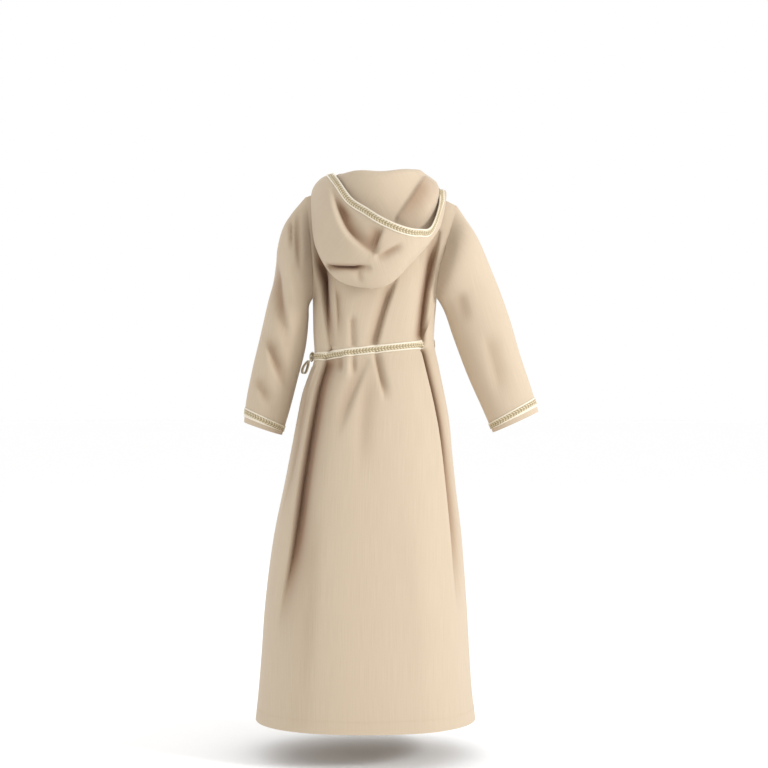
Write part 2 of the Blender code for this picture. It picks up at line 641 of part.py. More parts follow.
def belt_and_ends(front, front_normal, back, back_normal, finish):
    """The belt in two stretches, and the knot, bow loop and ends at the wearer's left."""
    rows = slice(BODY_ROWS.index(BELT_Z) - 1, BODY_ROWS.index(BELT_Z) + 2)
    tie = TIE_COLUMN
    ends = {}
    for side in (tie - 1, tie + 1):
        reach = np.linalg.norm(front[rows, side][1] - front[rows, tie][1])
        share = 1 - KNOT_SIZE[1] * KNOT_TUCK / reach
        ends[side] = [grid[rows, side] * (1 - share) + grid[rows, tie] * share
                      for grid in (front, front_normal)]
    wrap = slice(tie - 1, 0, -1)
    points = np.hstack([ends[tie - 1][0][:, None], front[rows, wrap], back[rows]])
    out = np.hstack([ends[tie - 1][1][:, None], front_normal[rows, wrap], back_normal[rows]])
    tape("belt_back", inset(points, last_column=SEAM_GAP / 2), out, False, finish)
    ahead = slice(-1 - BELT_START, tie, -1)
    points = np.hstack([front[rows, ahead], ends[tie + 1][0][:, None]])
    out = np.hstack([front_normal[rows, ahead], ends[tie + 1][1][:, None]])
    tape("belt_front", points, out, False, finish)

    centre, away = front[rows, tie][1], front_normal[rows, tie][1]
    along = ends[tie + 1][0][1] - ends[tie - 1][0][1]
    along = along - away * np.dot(along, away)
    along = along / np.linalg.norm(along)
    knot(centre + away * (KNOT_SIZE[0] + KNOT_LIFT), away, along, finish)
    first = BODY_ROWS.index(BELT_Z) - 1
    down = front[first - 3, tie] - front[first, tie]
    down = down / np.linalg.norm(down)
    bow_loop(centre + away * LOOP_OUT + down * LOOP_BELOW, down, finish)
    for column, (name, count) in enumerate(END_ROWS.items(), start=tie):
        part = slice(first - 1, first - 1 - count, -1)
        top = [front[first, k] + (front[first - 1, k] - front[first, k]) * END_START
               for k in (column, column + 1)]
        side = np.vstack([top[:1], front[part, column]])
        step = np.vstack([top[1:], front[part, column + 1]]) - side
        step = step / np.linalg.norm(step, axis=1, keepdims=True)
        start = side + step * END_APART
        grid = np.stack([start, start + step * (TAPE_WIDTH - END_APART)], axis=1)
        out = np.vstack([front_normal[first, column], front_normal[part, column]])
        tape(name, grid, np.stack([out, out], axis=1), False, finish, lift=END_LIFT)


def main():
    for old in list(bpy.data.objects):
        bpy.data.objects.remove(old)
    cloth = material("beige_cloth", (0.66, 0.50, 0.36), 0.85)
    braid = material("gold_braid", (0.62, 0.50, 0.30), 0.5, 0.3)

    robe = body_and_sleeves()
    cape = hood_on(robe)
    normals = shared_normals(robe + [(cape, False)])
    back, front, left, right = [grid for grid, _ in robe]
    half = SEAM_GAP / 2
    shown = [("panel_back", inset(back, 0, half, half, half)),
             ("panel_front", inset(front, 0, half, half, half)),
             ("sleeve_left", inset(left, half)),
             ("sleeve_right", inset(right, half))]
    for (name, grid), normal in zip(shown, normals):
        wall(name, grid, grid - normal * CLOTH, name.startswith("sleeve"), cloth)
    middle = cape.shape[1] // 2
    halves = [("left", slice(0, middle + 1), V_GAP, half),
              ("right", slice(middle, None), half, V_GAP)]
    for side, part, first, last in halves:
        grid = inset(cape[:, part], half, 0, first, last)
        normal = normals[4][:, part]
        wall("hood_" + side, grid, grid - normal * HOOD_CLOTH, False, cloth)
        tape("hood_trim_" + side, grid[-2:], normal[-2:], False, braid)
    tape("cuff_trim_left", left[-3:-1], normals[2][-3:-1], True, braid)
    tape("cuff_trim_right", right[-3:-1], normals[3][-3:-1], True, braid)
    belt_and_ends(front[:, ::-1], normals[1][:, ::-1], back, normals[0], braid)


main()
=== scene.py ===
"""A child's hooded djellaba with a tie belt, in its worn form, seen from behind."""
import math
from collections import namedtuple

import bpy
import numpy as np
from mathutils.bvhtree import BVHTree
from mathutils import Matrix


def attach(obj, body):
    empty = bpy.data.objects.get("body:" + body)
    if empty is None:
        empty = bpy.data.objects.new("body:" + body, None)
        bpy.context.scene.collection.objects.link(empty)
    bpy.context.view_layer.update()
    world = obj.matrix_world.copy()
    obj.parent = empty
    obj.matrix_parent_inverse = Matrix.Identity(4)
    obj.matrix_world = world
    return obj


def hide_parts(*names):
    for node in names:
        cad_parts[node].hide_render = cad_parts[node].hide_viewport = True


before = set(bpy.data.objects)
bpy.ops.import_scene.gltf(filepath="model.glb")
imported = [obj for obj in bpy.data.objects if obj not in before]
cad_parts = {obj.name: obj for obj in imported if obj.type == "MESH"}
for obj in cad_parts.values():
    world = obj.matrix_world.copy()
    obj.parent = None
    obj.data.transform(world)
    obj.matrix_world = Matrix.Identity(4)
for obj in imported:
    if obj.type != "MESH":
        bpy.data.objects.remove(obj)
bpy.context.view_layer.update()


# Camera. It looks level at the robe's back from the height of the waist.
CAMERA_DISTANCE = 3.2
CAMERA_SIDE = -0.00555
CAMERA_HEIGHT = -0.363
PICTURE_PIXELS, PIXEL_SIZE = 768, 0.00185
SENSOR_WIDTH = 36


def placed(name, data):
    """A new object in the scene, for a mesh, a lamp or the camera."""
    made = bpy.data.objects.new(name, data)
    bpy.context.scene.collection.objects.link(made)
    return made


camera = placed("camera", bpy.data.cameras.new("camera"))
camera.data.sensor_width = SENSOR_WIDTH
camera.data.lens = SENSOR_WIDTH * CAMERA_DISTANCE / (PICTURE_PIXELS * PIXEL_SIZE)
camera.location = (CAMERA_SIDE, CAMERA_DISTANCE, CAMERA_HEIGHT)
camera.rotation_euler = (math.pi / 2, 0, math.pi)
bpy.context.scene.camera = camera


# Floor and light. The floor is a plain pale round one at the wearer's soles, and the light is
# soft, the main lamp being to the right of the camera and a little above.
FLOOR_Z, FLOOR_RADIUS, FLOOR_SIDES = -1.044, 30.0, 64
FLOOR_COLOUR, FLOOR_ROUGHNESS = (0.995, 0.995, 0.995, 1), 0.9
Lamp = namedtuple("Lamp", "name place size power")
LAMPS = [
    Lamp("lamp_main", (-2.9, 1.5, 0.65), 0.8, 62),
    Lamp("lamp_front", (1.2, -2.8, 0.9), 1.6, 12),
]
floor_mesh = bpy.data.meshes.new("floor")
floor_turns = 2 * math.pi * np.arange(FLOOR_SIDES) / FLOOR_SIDES
floor_mesh.from_pydata([(FLOOR_RADIUS * math.cos(a), FLOOR_RADIUS * math.sin(a), FLOOR_Z)
                        for a in floor_turns], [], [tuple(range(FLOOR_SIDES))])
floor_finish = bpy.data.materials.new("pale_floor")
floor_finish.use_nodes = True
floor_shader = floor_finish.node_tree.nodes["Principled BSDF"]
floor_shader.inputs["Base Color"].default_value = FLOOR_COLOUR
floor_shader.inputs["Roughness"].default_value = FLOOR_ROUGHNESS
floor_mesh.materials.append(floor_finish)
floor = placed("floor", floor_mesh)
for lamp in LAMPS:
    light = bpy.data.lights.new(lamp.name, "AREA")
    light.shape = "DISK"
    light.size = lamp.size
    light.energy = lamp.power
    holder = placed(lamp.name, light)
    holder.location = lamp.place
    away = holder.location.copy()
    away.z -= CAMERA_HEIGHT
    holder.rotation_euler = away.to_track_quat("Z", "Y").to_euler()
world = bpy.data.worlds.new("studio")
world.use_nodes = True
background = world.node_tree.nodes["Background"].inputs
background["Color"].default_value = (1, 1, 1, 1)
background["Strength"].default_value = 1.0
bpy.context.scene.world = world
bpy.context.scene.view_settings.view_transform = "Standard"


# Back and front. Each is one flared piece of beige twill from the shoulders to the hem, sewn at
# the sides and gathered by the belt into soft folds. Their table has a row for each height: where
# the outline lies at left and right, how deep it is, and how far the side seams lie behind it.
CLOTH = 0.0007
TAPE_WIDTH = 0.0145
BELT_Z = -0.2993
BELT_TILT = -0.111
BELT_SPREAD = 0.045
UNDERARM_Z = -0.205
BOXINESS = 2.3
Section = namedtuple("Section", "z left right back front seam_left seam_right")
BODY = [Section(*row) for row in [
    (-0.978, 0.231, -0.174, 0.172, -0.17, 14, 20),
    (-0.929, 0.226, -0.168, 0.167, -0.164, 14, 21),
    (-0.855, 0.22, -0.163, 0.159, -0.155, 15, 22),
    (-0.781, 0.215, -0.159, 0.151, -0.146, 15, 23),
    (-0.707, 0.207, -0.154, 0.143, -0.138, 16, 24),
    (-0.633, 0.196, -0.148, 0.135, -0.13, 17, 26),
    (-0.559, 0.181, -0.139, 0.127, -0.122, 18, 28),
    (-0.485, 0.1665, -0.1314, 0.118, -0.115, 19, 30),
    (-0.43, 0.156, -0.126, 0.111, -0.108, 20, 32),
    (-0.385, 0.147, -0.118, 0.103, -0.101, 21, 34),
    (-0.341, 0.134, -0.108, 0.094, -0.093, 22, 36),
    (-0.3, 0.1235, -0.0985, 0.084, -0.086, 24, 38),
    (-0.262, 0.125, -0.099, 0.089, -0.09, 18, 28),
    (-0.205, 0.1265, -0.103, 0.092, -0.093, 6, 8),
]]
SHOULDER_TIP = {"left": (0.140, 0.0, -0.018), "right": (-0.1405, 0.0, -0.034)}
SHOULDER_SHARE = 6 / 26
NeckPoint = namedtuple("NeckPoint", "azimuth radius z")
NECK = [NeckPoint(*row) for row in [
    (-180, 0.084, -0.085), (-150, 0.074, -0.048), (-120, 0.067, -0.015), (-90, 0.064, 0.004),
    (-45, 0.057, 0.003), (0, 0.052, -0.004), (45, 0.058, 0.004), (90, 0.068, 0.008),
    (120, 0.069, -0.011), (150, 0.075, -0.046), (180, 0.084, -0.085),
]]

# How the yoke curves from the underarm up to the shoulder seam or the neck: the way it leaves
# the underarm, and the way down from its top, at the armholes and in the middle. The x of an
# armhole is the wearer's left one. Towards the middle of the neck, neck is added as well.
Yoke = namedtuple("Yoke", "edge_rise middle_rise edge_drop middle_drop neck")
YOKE = {
    "back": Yoke((-0.004, 0.030, 0.045), (0, 0.006, 0.065), (-0.010, 0.045, -0.040),
                 (0, 0.038, -0.018), (0, 0, -0.022)),
    "front": Yoke((-0.010, -0.038, 0.042), (0, -0.006, 0.050), (-0.016, -0.042, -0.036),
                  (0, -0.044, -0.018), (0, 0.038, -0.014)),
}
YOKE_EDGE_POWER = 3.5

# Rows of the cloth's grid: skirt, waist, belt band, bodice and yoke. Its columns lie closer
# together towards the side seams.
SKIRT_ROWS, WAIST_ROWS, TAPE_ROWS, BODICE_ROWS, YOKE_ROWS = 108, 28, 13, 32, 54
EDGE_COLUMNS, NECK_COLUMNS, COLUMN_POWER = 46, 96, 1.5
WAIST_Z = -0.385
belt_low, belt_high = BELT_Z - TAPE_WIDTH / 2, BELT_Z + TAPE_WIDTH / 2
body_heights = np.concatenate([
    np.linspace(BODY[0].z, WAIST_Z, SKIRT_ROWS)[:-1],
    np.linspace(WAIST_Z, belt_low, WAIST_ROWS)[:-1],
    np.linspace(belt_low, belt_high, TAPE_ROWS)[:-1],
    np.linspace(belt_high, UNDERARM_Z, BODICE_ROWS),
])
belt_rows = slice(SKIRT_ROWS + WAIST_ROWS - 2, SKIRT_ROWS + WAIST_ROWS + TAPE_ROWS - 2)
edge_shares = SHOULDER_SHARE * np.linspace(0, 1, EDGE_COLUMNS + 1) ** COLUMN_POWER
middle_shares = np.linspace(SHOULDER_SHARE, 1 - SHOULDER_SHARE, NECK_COLUMNS + 1)
shares = np.concatenate([edge_shares[:-1], middle_shares, 1 - edge_shares[-2::-1]])

# Folds of the back and front. Each runs down its (x, z) points on the side it names. Its
# depth is negative for a trough, its two widths are to the left and right of someone walking
# down it as seen from behind, and top and bottom tell how much of it is left at its ends. The
# cloth on its narrower side leans over it by a lip.
Fold = namedtuple("Fold", "side depth left right top bottom lip path")


def folds(side, rows):
    """Folds of one side, from rows of their other values."""
    return [Fold(side, *row) for row in rows]


BODY_FOLDS = folds("back", [
    (-0.018, 0.026, 0.005, 0.6, 0.0, 0.004,
     [(0.131, -0.07), (0.124, -0.12), (0.114, -0.185), (0.106, -0.235)]),
    (-0.024, 0.011, 0.0045, 0.0, 0.3, 0.005,
     [(0.124, -0.11), (0.112, -0.185), (0.102, -0.24), (0.093, -0.292)]),
    (-0.027, 0.022, 0.0045, 0.8, 0.0, 0.006,
     [(0.095, -0.303), (0.11, -0.34), (0.129, -0.42), (0.146, -0.523), (0.166, -0.688),
      (0.188, -0.84)]),
    (-0.009, 0.008, 0.004, 0.3, 0.0, 0.002,
     [(0.126, -0.33), (0.143, -0.39), (0.16, -0.48), (0.18, -0.62)]),
    (-0.024, 0.0045, 0.014, 0.2, 0.9, 0.004,
     [(-0.106, -0.085), (-0.097, -0.15), (-0.086, -0.22), (-0.077, -0.292)]),
    (-0.018, 0.011, 0.0035, 1.0, 0.0, 0.004,
     [(-0.074, -0.303), (-0.101, -0.42), (-0.127, -0.62), (-0.14, -0.8)]),
    (-0.012, 0.0045, 0.003, 0.8, 0.0, 0.002, [(-0.076, -0.306), (-0.103, -0.42), (-0.124, -0.56)]),
    (-0.007, 0.008, 0.0035, 0.1, 0.1, 0.002, [(0.082, -0.175), (0.078, -0.235), (0.076, -0.292)]),
    (-0.005, 0.006, 0.006, 0.0, 1.0, 0.0, [(0.052, -0.235), (0.05, -0.292)]),
    (-0.012, 0.0045, 0.014, 0.2, 1.0, 0.002, [(-0.027, -0.17), (-0.006, -0.235), (0.009, -0.292)]),
    (-0.009, 0.009, 0.0045, 1.0, 0.0, 0.002, [(0.011, -0.306), (0.004, -0.34), (-0.011, -0.4)]),
    (-0.006, 0.007, 0.016, 0.4, 0.0, 0.0, [(0.028, -0.32), (0.048, -0.37), (0.084, -0.47)]),
    (0.004, 0.007, 0.008, 0.8, 0.0, 0.0, [(0.062, -0.306), (0.06, -0.36)]),
    (-0.007, 0.004, 0.007, 0.9, 0.0, 0.0, [(0.074, -0.306), (0.07, -0.345)]),
    (-0.005, 0.005, 0.005, 0.9, 0.0, 0.0, [(0.05, -0.306), (0.05, -0.35)]),
    (-0.004, 0.016, 0.012, 0.2, 0.0, 0.0, [(0.02, -0.33), (0.03, -0.42), (0.036, -0.54)]),
    (-0.003, 0.012, 0.02, 0.0, 0.3, 0.0, [(0.118, -0.56), (0.14, -0.96)]),
    (0.003, 0.03, 0.024, 0.0, 0.6, 0.0, [(-0.06, -0.56), (-0.085, -0.978)]),
]) + folds("front", [
    (-0.014, 0.014, 0.006, 0.2, 0.9, 0.003, [(0.06, -0.1), (0.066, -0.2), (0.058, -0.292)]),
    (-0.013, 0.006, 0.014, 0.2, 0.9, 0.003, [(-0.055, -0.11), (-0.06, -0.2), (-0.048, -0.292)]),
    (-0.008, 0.005, 0.01, 0.1, 0.9, 0.002, [(0.008, -0.19), (0.005, -0.292)]),
    (-0.013, 0.016, 0.006, 0.9, 0.1, 0.003, [(0.06, -0.306), (0.082, -0.48), (0.1, -0.7)]),
    (-0.012, 0.006, 0.014, 0.9, 0.1, 0.003, [(-0.046, -0.306), (-0.062, -0.45), (-0.08, -0.64)]),
    (-0.008, 0.011, 0.006, 0.9, 0.0, 0.0, [(0.01, -0.306), (0.014, -0.42)]),
    (0.006, 0.03, 0.03, 0.0, 1.0, 0.0, [(0.02, -0.56), (0.024, -0.978)]),
    (-0.006, 0.026, 0.026, 0.0, 1.0, 0.0, [(0.12, -0.7), (0.15, -0.978)]),
    (-0.006, 0.026, 0.026, 0.0, 1.0, 0.0, [(-0.075, -0.74), (-0.1, -0.978)]),
])
BELT_HOLD, BELT_REACH = 0.7, 0.011
FOLD_FACING, FACING_FROM = 1.2, 0.1
# Fold depth at which the painted crease shade is at its darkest.
FULL_SHADE_DEPTH = 0.018

# Shares of a fold over which it grows and dies out, how it ends past its path and towards the
# robe's other side, how far its lip reaches, and how far from seams and edges it starts
FOLD_GROWS, FOLD_DIES, FOLD_END = 0.3, 0.5, 0.006
SIDE_START, SIDE_SPAN = -0.004, 0.024
LIP_REACH = 4
SEAM_FADE, ARMHOLE_FADE, LIP_FADE = 0.030, 0.025, 0.006
FINE_STEPS = 241


def table_curve(at, places, values):
    """Read a table of numbers anywhere between its rows, on a smooth curve."""
    places, values = np.asarray(places, float), np.asarray(values, float)
    slopes = np.gradient(values, places, axis=0)
    at = np.clip(np.asarray(at, float), places[0], places[-1])
    i = np.clip(np.searchsorted(places, at) - 1, 0, len(places) - 2)
    step = places[i + 1] - places[i]
    t = (at - places[i]) / step
    if values.ndim > 1:
        t, step = t[..., None], step[..., None]
    return ((1 + 2 * t) * (1 - t) ** 2 * values[i] + t * (1 - t) ** 2 * step * slopes[i]
            + t * t * (3 - 2 * t) * values[i + 1] + t * t * (t - 1) * step * slopes[i + 1])


def run_along(points):
    """How far along a line of points each one lies."""
    steps = np.linalg.norm(np.diff(points, axis=0), axis=-1)
    return np.concatenate([np.zeros((1,) + steps.shape[1:]), np.cumsum(steps, axis=0)])


def run_across(grid):
    """How far along its row each point of a grid lies."""
    return run_along(grid.transpose(1, 0, 2)).T


def ringed(grid, closed):
    """The grid, with its first column once more after the last where it is closed."""
    return np.concatenate([grid, grid[:, :1]], axis=1) if closed else grid


def corners(grid):
    """What a grid holds at the four corners of each of its faces."""
    return np.stack([grid[:-1, :-1], grid[:-1, 1:], grid[1:, 1:], grid[1:, :-1]], axis=2)


def even_steps(points, stops):
    """Points on the smooth curve through a few, at given shares of its length."""
    points = np.asarray(points, float)
    chord = run_along(points)
    fine = table_curve(np.linspace(0, chord[-1], FINE_STEPS), chord, points)
    run = run_along(fine)
    return np.stack([np.interp(np.asarray(stops) * run[-1], run, fine[:, a])
                     for a in range(points.shape[1])], axis=-1)


def unit(vectors):
    return vectors / np.maximum(np.linalg.norm(vectors, axis=-1, keepdims=True), 1e-12)


def ease(share):
    share = np.clip(share, 0, 1)
    return share * share * (3 - 2 * share)


def body_points(heights, turns):
    """Points of the robe's body; a turn of 0 degrees is the wearer's left and 90 the back."""
    rows = table_curve(heights, [row.z for row in BODY], [row[1:5] for row in BODY])
    left, right, back, front = np.moveaxis(rows, -1, 0)
    across, deep = np.cos(np.radians(turns)), np.sin(np.radians(turns))
    power = 2 / BOXINESS
    x = (left + right) / 2 + (left - right) / 2 * np.sign(across) * np.abs(across) ** power
    y = np.where(deep > 0, back, -front) * np.sign(deep) * np.abs(deep) ** power
    tilt = BELT_TILT * np.exp(-((heights - BELT_Z) / BELT_SPREAD) ** 2)
    return np.stack([x, y, heights + tilt * x], axis=-1)


def neck_points(azimuths):
    """Points of the neckline; 0 degrees is the back and 90 the wearer's left."""
    rows = table_curve(azimuths, [row.azimuth for row in NECK], [row[1:] for row in NECK])
    turns = np.radians(azimuths)
    return np.stack([rows[..., 0] * np.sin(turns), rows[..., 0] * np.cos(turns), rows[..., 1]],
                    axis=-1)


def panel_points(side):
    """Points of the back or front panel: rows from the hem up, columns from wearer's left."""
    far, side_turn = (0, 180) if side == "back" else (180, -180)
    hand = np.where(shares < 0.5, 1, -1)
    share = np.minimum(shares, 1 - shares)
    on_shoulder = np.clip(share / SHOULDER_SHARE, 0, 1)[:, None]
    on_neck = np.clip((0.5 - share) / (0.5 - SHOULDER_SHARE), 0, 1)
    azimuth = (far + (90 - far) * on_neck) * hand
    tips = np.where(hand[:, None] > 0, SHOULDER_TIP["left"], SHOULDER_TIP["right"])
    top = np.where(share[:, None] < SHOULDER_SHARE,
                   tips + on_shoulder * (neck_points(90.0 * hand) - tips), neck_points(azimuth))
    seams = table_curve(body_heights, [row.z for row in BODY], [row[5:] for row in BODY])
    start, end = seams[:, :1], side_turn - seams[:, 1:]
    body = body_points(np.repeat(body_heights[:, None], len(shares), 1),
                       start + (end - start) * shares)
    edge = (np.abs(2 * shares - 1) ** YOKE_EDGE_POWER)[:, None]
    mirror = np.stack([hand, np.ones_like(hand), np.ones_like(hand)], axis=1)
    round_neck = np.abs(azimuth) / 90
    from_middle = round_neck if side == "back" else np.abs(1 - round_neck)
    amount = np.stack([0 * round_neck, np.maximum(0, round_neck - 1),
                       np.minimum(1, 2 * (1 - from_middle))], axis=1)
    yoke = YOKE[side]
    rise = edge * mirror * yoke.edge_rise + (1 - edge) * yoke.middle_rise
    drop = edge * mirror * yoke.edge_drop
    drop = drop + (1 - edge) * (yoke.middle_drop + amount * yoke.neck)
    t = np.linspace(0, 1, YOKE_ROWS + 1)[1:, None, None]
    low = body[-1]
    return np.concatenate([body, (1 - t) ** 3 * low + 3 * t * (1 - t) ** 2 * (low + rise)
                           + 3 * t * t * (1 - t) * (top + drop) + t ** 3 * top])


def grid_normals(grid, closed):
    """Unit normals at the points of a grid."""
    ring = ringed(grid, closed)
    face = unit(np.cross(ring[1:, 1:] - ring[:-1, :-1], ring[1:, :-1] - ring[:-1, 1:]))
    total = np.zeros(ring.shape)
    for rows in (slice(0, -1), slice(1, None)):
        for columns in (slice(0, -1), slice(1, None)):
            total[rows, columns] += face
    if closed:
        total[:, 0] += total[:, -1]
        total = total[:, :-1]
    return unit(total)


def border(grid, closed):
    """Row and column numbers of the points on a grid's borders."""
    rows, columns = grid.shape[:2]
    spots = [(i, k) for i in (0, rows - 1) for k in range(columns)]
    if not closed:
        spots += [(i, k) for i in range(1, rows - 1) for k in (0, columns - 1)]
    return spots


SEAM_CORNER, SEAM_SPAN = 0.3, 0.2


def sewn_normals(pieces):
    """Normals of several pieces that agree where they are sewn, except in a sharp corner."""
    own = [grid_normals(grid, closed) for grid, closed in pieces]
    found = {}
    for (grid, closed), normals in zip(pieces, own):
        for spot in border(grid, closed):
            key = tuple(np.round(grid[spot], 6))
            found[key] = found.get(key, 0) + normals[spot]
    for (grid, closed), normals in zip(pieces, own):
        for spot in border(grid, closed):
            both = unit(found[tuple(np.round(grid[spot], 6))])
            share = np.clip((both @ normals[spot] - SEAM_CORNER) / SEAM_SPAN, 0, 1)
            normals[spot] = unit(both * share + normals[spot] * (1 - share))
    return own


def fold_moves(points, folds):
    """How far the folds push each point out, and how far their lips move it sideways."""
    depth, lean = np.zeros(points.shape[:-1]), np.zeros(points.shape)
    place = points[..., [0, 2]]
    for fold in folds:
        toward = points[..., 1] if fold.side == "back" else -points[..., 1]
        path = list(even_steps(fold.path, np.linspace(0, 1, 4 * len(fold.path))))
        run = run_along(path)
        best, hand, along = np.ones(depth.shape), np.zeros(depth.shape), np.zeros(depth.shape)
        inward, past = np.zeros(place.shape), np.zeros(depth.shape)
        for i, (start, end) in enumerate(zip(path, path[1:])):
            step = np.linalg.norm(end - start)
            way = (end - start) / step
            offset = place - start
            ahead = offset @ way
            t = np.clip(ahead, 0, step)
            away = offset - t[..., None] * way
            gap = np.linalg.norm(away, axis=-1)
            near = gap < best
            best = np.where(near, gap, best)
            hand = np.where(near, way[0] * away[..., 1] - way[1] * away[..., 0], hand)
            along = np.where(near, (run[i] + t) / run[-1], along)
            inward = np.where(near[..., None], -unit(away), inward)
            over = 0 * ahead
            if i == 0:
                over = -ahead
            elif i == len(path) - 2:
                over = ahead - step
            past = np.where(near, np.maximum(over, 0), past)
        width = np.where(hand > 0, fold.right, fold.left)
        strength = fold.top + (1 - fold.top) * ease(along / FOLD_GROWS)
        strength *= fold.bottom + (1 - fold.bottom) * ease((1 - along) / FOLD_DIES)
        strength *= np.clip((toward - SIDE_START) / SIDE_SPAN, 0, 1)
        strength *= np.exp(-(past / FOLD_END) ** 2)
        depth += fold.depth * strength * np.exp(-(best / width) ** 2)
        crisp = min(fold.left, fold.right)
        lip = fold.lip * strength * (width == crisp) * ease(best / crisp)
        lip = lip * np.exp(-(best / (LIP_REACH * crisp)) ** 2)
        lean[..., 0] += lip * inward[..., 0]
        lean[..., 2] += lip * inward[..., 1]
    return depth, lean


def folded(grid, normals, closed, folds):
    """The grid moved by its folds, which die out at the armholes and the top, and their depth, which
    sets the painted crease shade.
    """
    depth, lean = fold_moves(grid, folds)
    run = run_along(grid)
    if closed:
        fade = ease(run[:, :1] / SEAM_FADE) * np.ones(depth.shape)
    else:
        across = run_across(grid)
        edge = np.minimum(across, across[:, -1:] - across)
        above = np.clip((grid[..., 2] - UNDERARM_Z) / SEAM_FADE, 0, 1)
        fade = (1 - above * (1 - ease(edge / ARMHOLE_FADE))) * ease((run[-1:] - run) / SEAM_FADE)
        flat_z = grid[..., 2] - BELT_TILT * grid[..., 0]
        fade = fade * (1 - BELT_HOLD * np.exp(-((flat_z - BELT_Z) / BELT_REACH) ** 2))
        lean = lean * ease(edge / LIP_FADE)[..., None]
    straight = np.sign(grid[..., 1:2]) * (normals[..., 1:2] > FACING_FROM) * (0, 1, 0)
    way = unit(normals + FOLD_FACING * straight)
    return grid + (way * depth[..., None] + lean) * fade[..., None], depth * fade


SHARP_TURN = math.radians(60)


def cloth_piece(name, grid, normals, closed, finish, depth=0.0):
    """A thin wall of cloth on a grid of points, with a UV map in metres of its flat cut, and painted
    crease shade from its fold depth.
    """
    rows, columns = grid.shape[:2]
    count = rows * columns
    index = ringed(np.arange(count).reshape(rows, columns), closed)
    flat = ringed(grid, closed)
    middle = flat.shape[1] // 2
    across = run_across(flat)
    cut = np.stack([across - across[:, middle:middle + 1], run_along(flat)], axis=-1)
    outside = corners(index).reshape(-1, 4)
    places = corners(cut).reshape(-1, 4, 2)
    lines = [(index[0], cut[0]), (index[-1, ::-1], cut[-1, ::-1])]
    if not closed:
        lines += [(index[::-1, 0], cut[::-1, 0]), (index[:, -1], cut[:, -1])]
    rims, rim_places = [], []
    for line, place in lines:
        rims.append(np.stack([line[1:], line[:-1], line[:-1] + count, line[1:] + count], axis=1))
        rim_places.append(np.stack([place[1:], place[:-1], place[:-1], place[1:]], axis=1))
    faces = np.concatenate([outside, outside[:, ::-1] + count, *rims])
    places = np.concatenate([places, places[:, ::-1], *rim_places])
    points = np.concatenate([grid.reshape(-1, 3), (grid - normals * CLOTH).reshape(-1, 3)])
    mesh = bpy.data.meshes.new(name)
    mesh.from_pydata(points.tolist(), [], faces.tolist())
    mesh.uv_layers.new(name="cut").data.foreach_set("uv", places.astype(np.float32).ravel())
    # Painted shade: how deep each point lies in a fold, as a share of the full crease shade.
    deep = np.clip(-depth / FULL_SHADE_DEPTH * np.ones((rows, columns)), 0, 1).ravel()
    mesh.attributes.new("painted_crease_shade", "FLOAT", "POINT").data.foreach_set("value", np.tile(deep, 2))
    mesh.shade_smooth()
    mesh.set_sharp_from_angle(angle=SHARP_TURN)
    mesh.materials.append(finish)
    return placed(name, mesh)


class Wire:
    """A socket of a node tree. Sums of wires add Math nodes, and node() adds any other."""

    def __init__(self, tree, socket=None):
        self.tree = tree
        self.socket = socket

    def node(self, kind, settings=None, inputs=None, output=0):
        made = self.tree.nodes.new(kind if "Node" in kind else "ShaderNode" + kind)
        for name, value in (settings or {}).items():
            setattr(made, name, value)
        for name, value in (inputs or {}).items():
            if isinstance(value, Wire):
                self.tree.links.new(value.socket, made.inputs[name])
            else:
                made.inputs[name].default_value = value
        return Wire(self.tree, made.outputs[output])

    def math(self, operation, *values):
        return self.node("Math", {"operation": operation}, dict(enumerate(values)))

    def noise(self, scale, detail=2.0):
        """Noise at this place."""
        return self.node("TexNoise", inputs={"Vector": self, "Scale": scale, "Detail": detail})

    def mix(self, first, second, blend="MIX"):
        """Two colours mixed in this share."""
        first, second = [one if isinstance(one, Wire) else (*one, 1) for one in (first, second)]
        return self.node("Mix", {"data_type": "RGBA", "blend_type": blend},
                         {"Factor": self, 6: first, 7: second}, output=2)

    def bump(self, strength, distance):
        """Normals bumped by this height."""
        return self.node("Bump", inputs={"Height": self, "Strength": strength,
                                         "Distance": distance})

    def into(self, node, name):
        self.tree.links.new(self.socket, node.inputs[name])

    def __add__(self, other):
        return self.math("ADD", self, other)

    def __sub__(self, other):
        return self.math("SUBTRACT", self, other)

    def __rsub__(self, other):
        return self.math("SUBTRACT", other, self)

    def __mul__(self, other):
        return self.math("MULTIPLY", self, other)

    __radd__ = __add__
    __rmul__ = __mul__


def new_finish(name, roughness, sheen=0.0):
    """A new material, its shader and a wire to add nodes with."""
    made = bpy.data.materials.new(name)
    made.use_nodes = True
    shader = made.node_tree.nodes["Principled BSDF"]
    shader.inputs["Roughness"].default_value = roughness
    shader.inputs["Sheen Weight"].default_value = sheen
    shader.inputs["Sheen Roughness"].default_value = 0.6
    return made, shader, Wire(made.node_tree)


def cut_places(wire):
    """A piece's UV map of its flat cut, in metres, and its two directions."""
    cut = wire.node("UVMap", {"uv_map": "cut"})
    first = wire.node("SeparateXYZ", inputs={"Vector": cut})
    return cut, first, Wire(wire.tree, first.socket.node.outputs["Y"])


# The twill's ribs are slanted, and its streaks run along the warp. Deep creases get painted
# shade, darker and redder, by the depth of the fold that each point of the cloth lies in.
RIB_PITCH = 0.0013
STREAKS_ACROSS, STREAKS_ALONG = 900, 14
BEIGE_DARK, BEIGE_LIGHT = (0.470, 0.374, 0.266), (0.592, 0.484, 0.356)
# Colour that multiplies the cloth's colour in the darkest painted crease shade.
PAINTED_SHADE_TINT = (0.50, 0.36, 0.27)


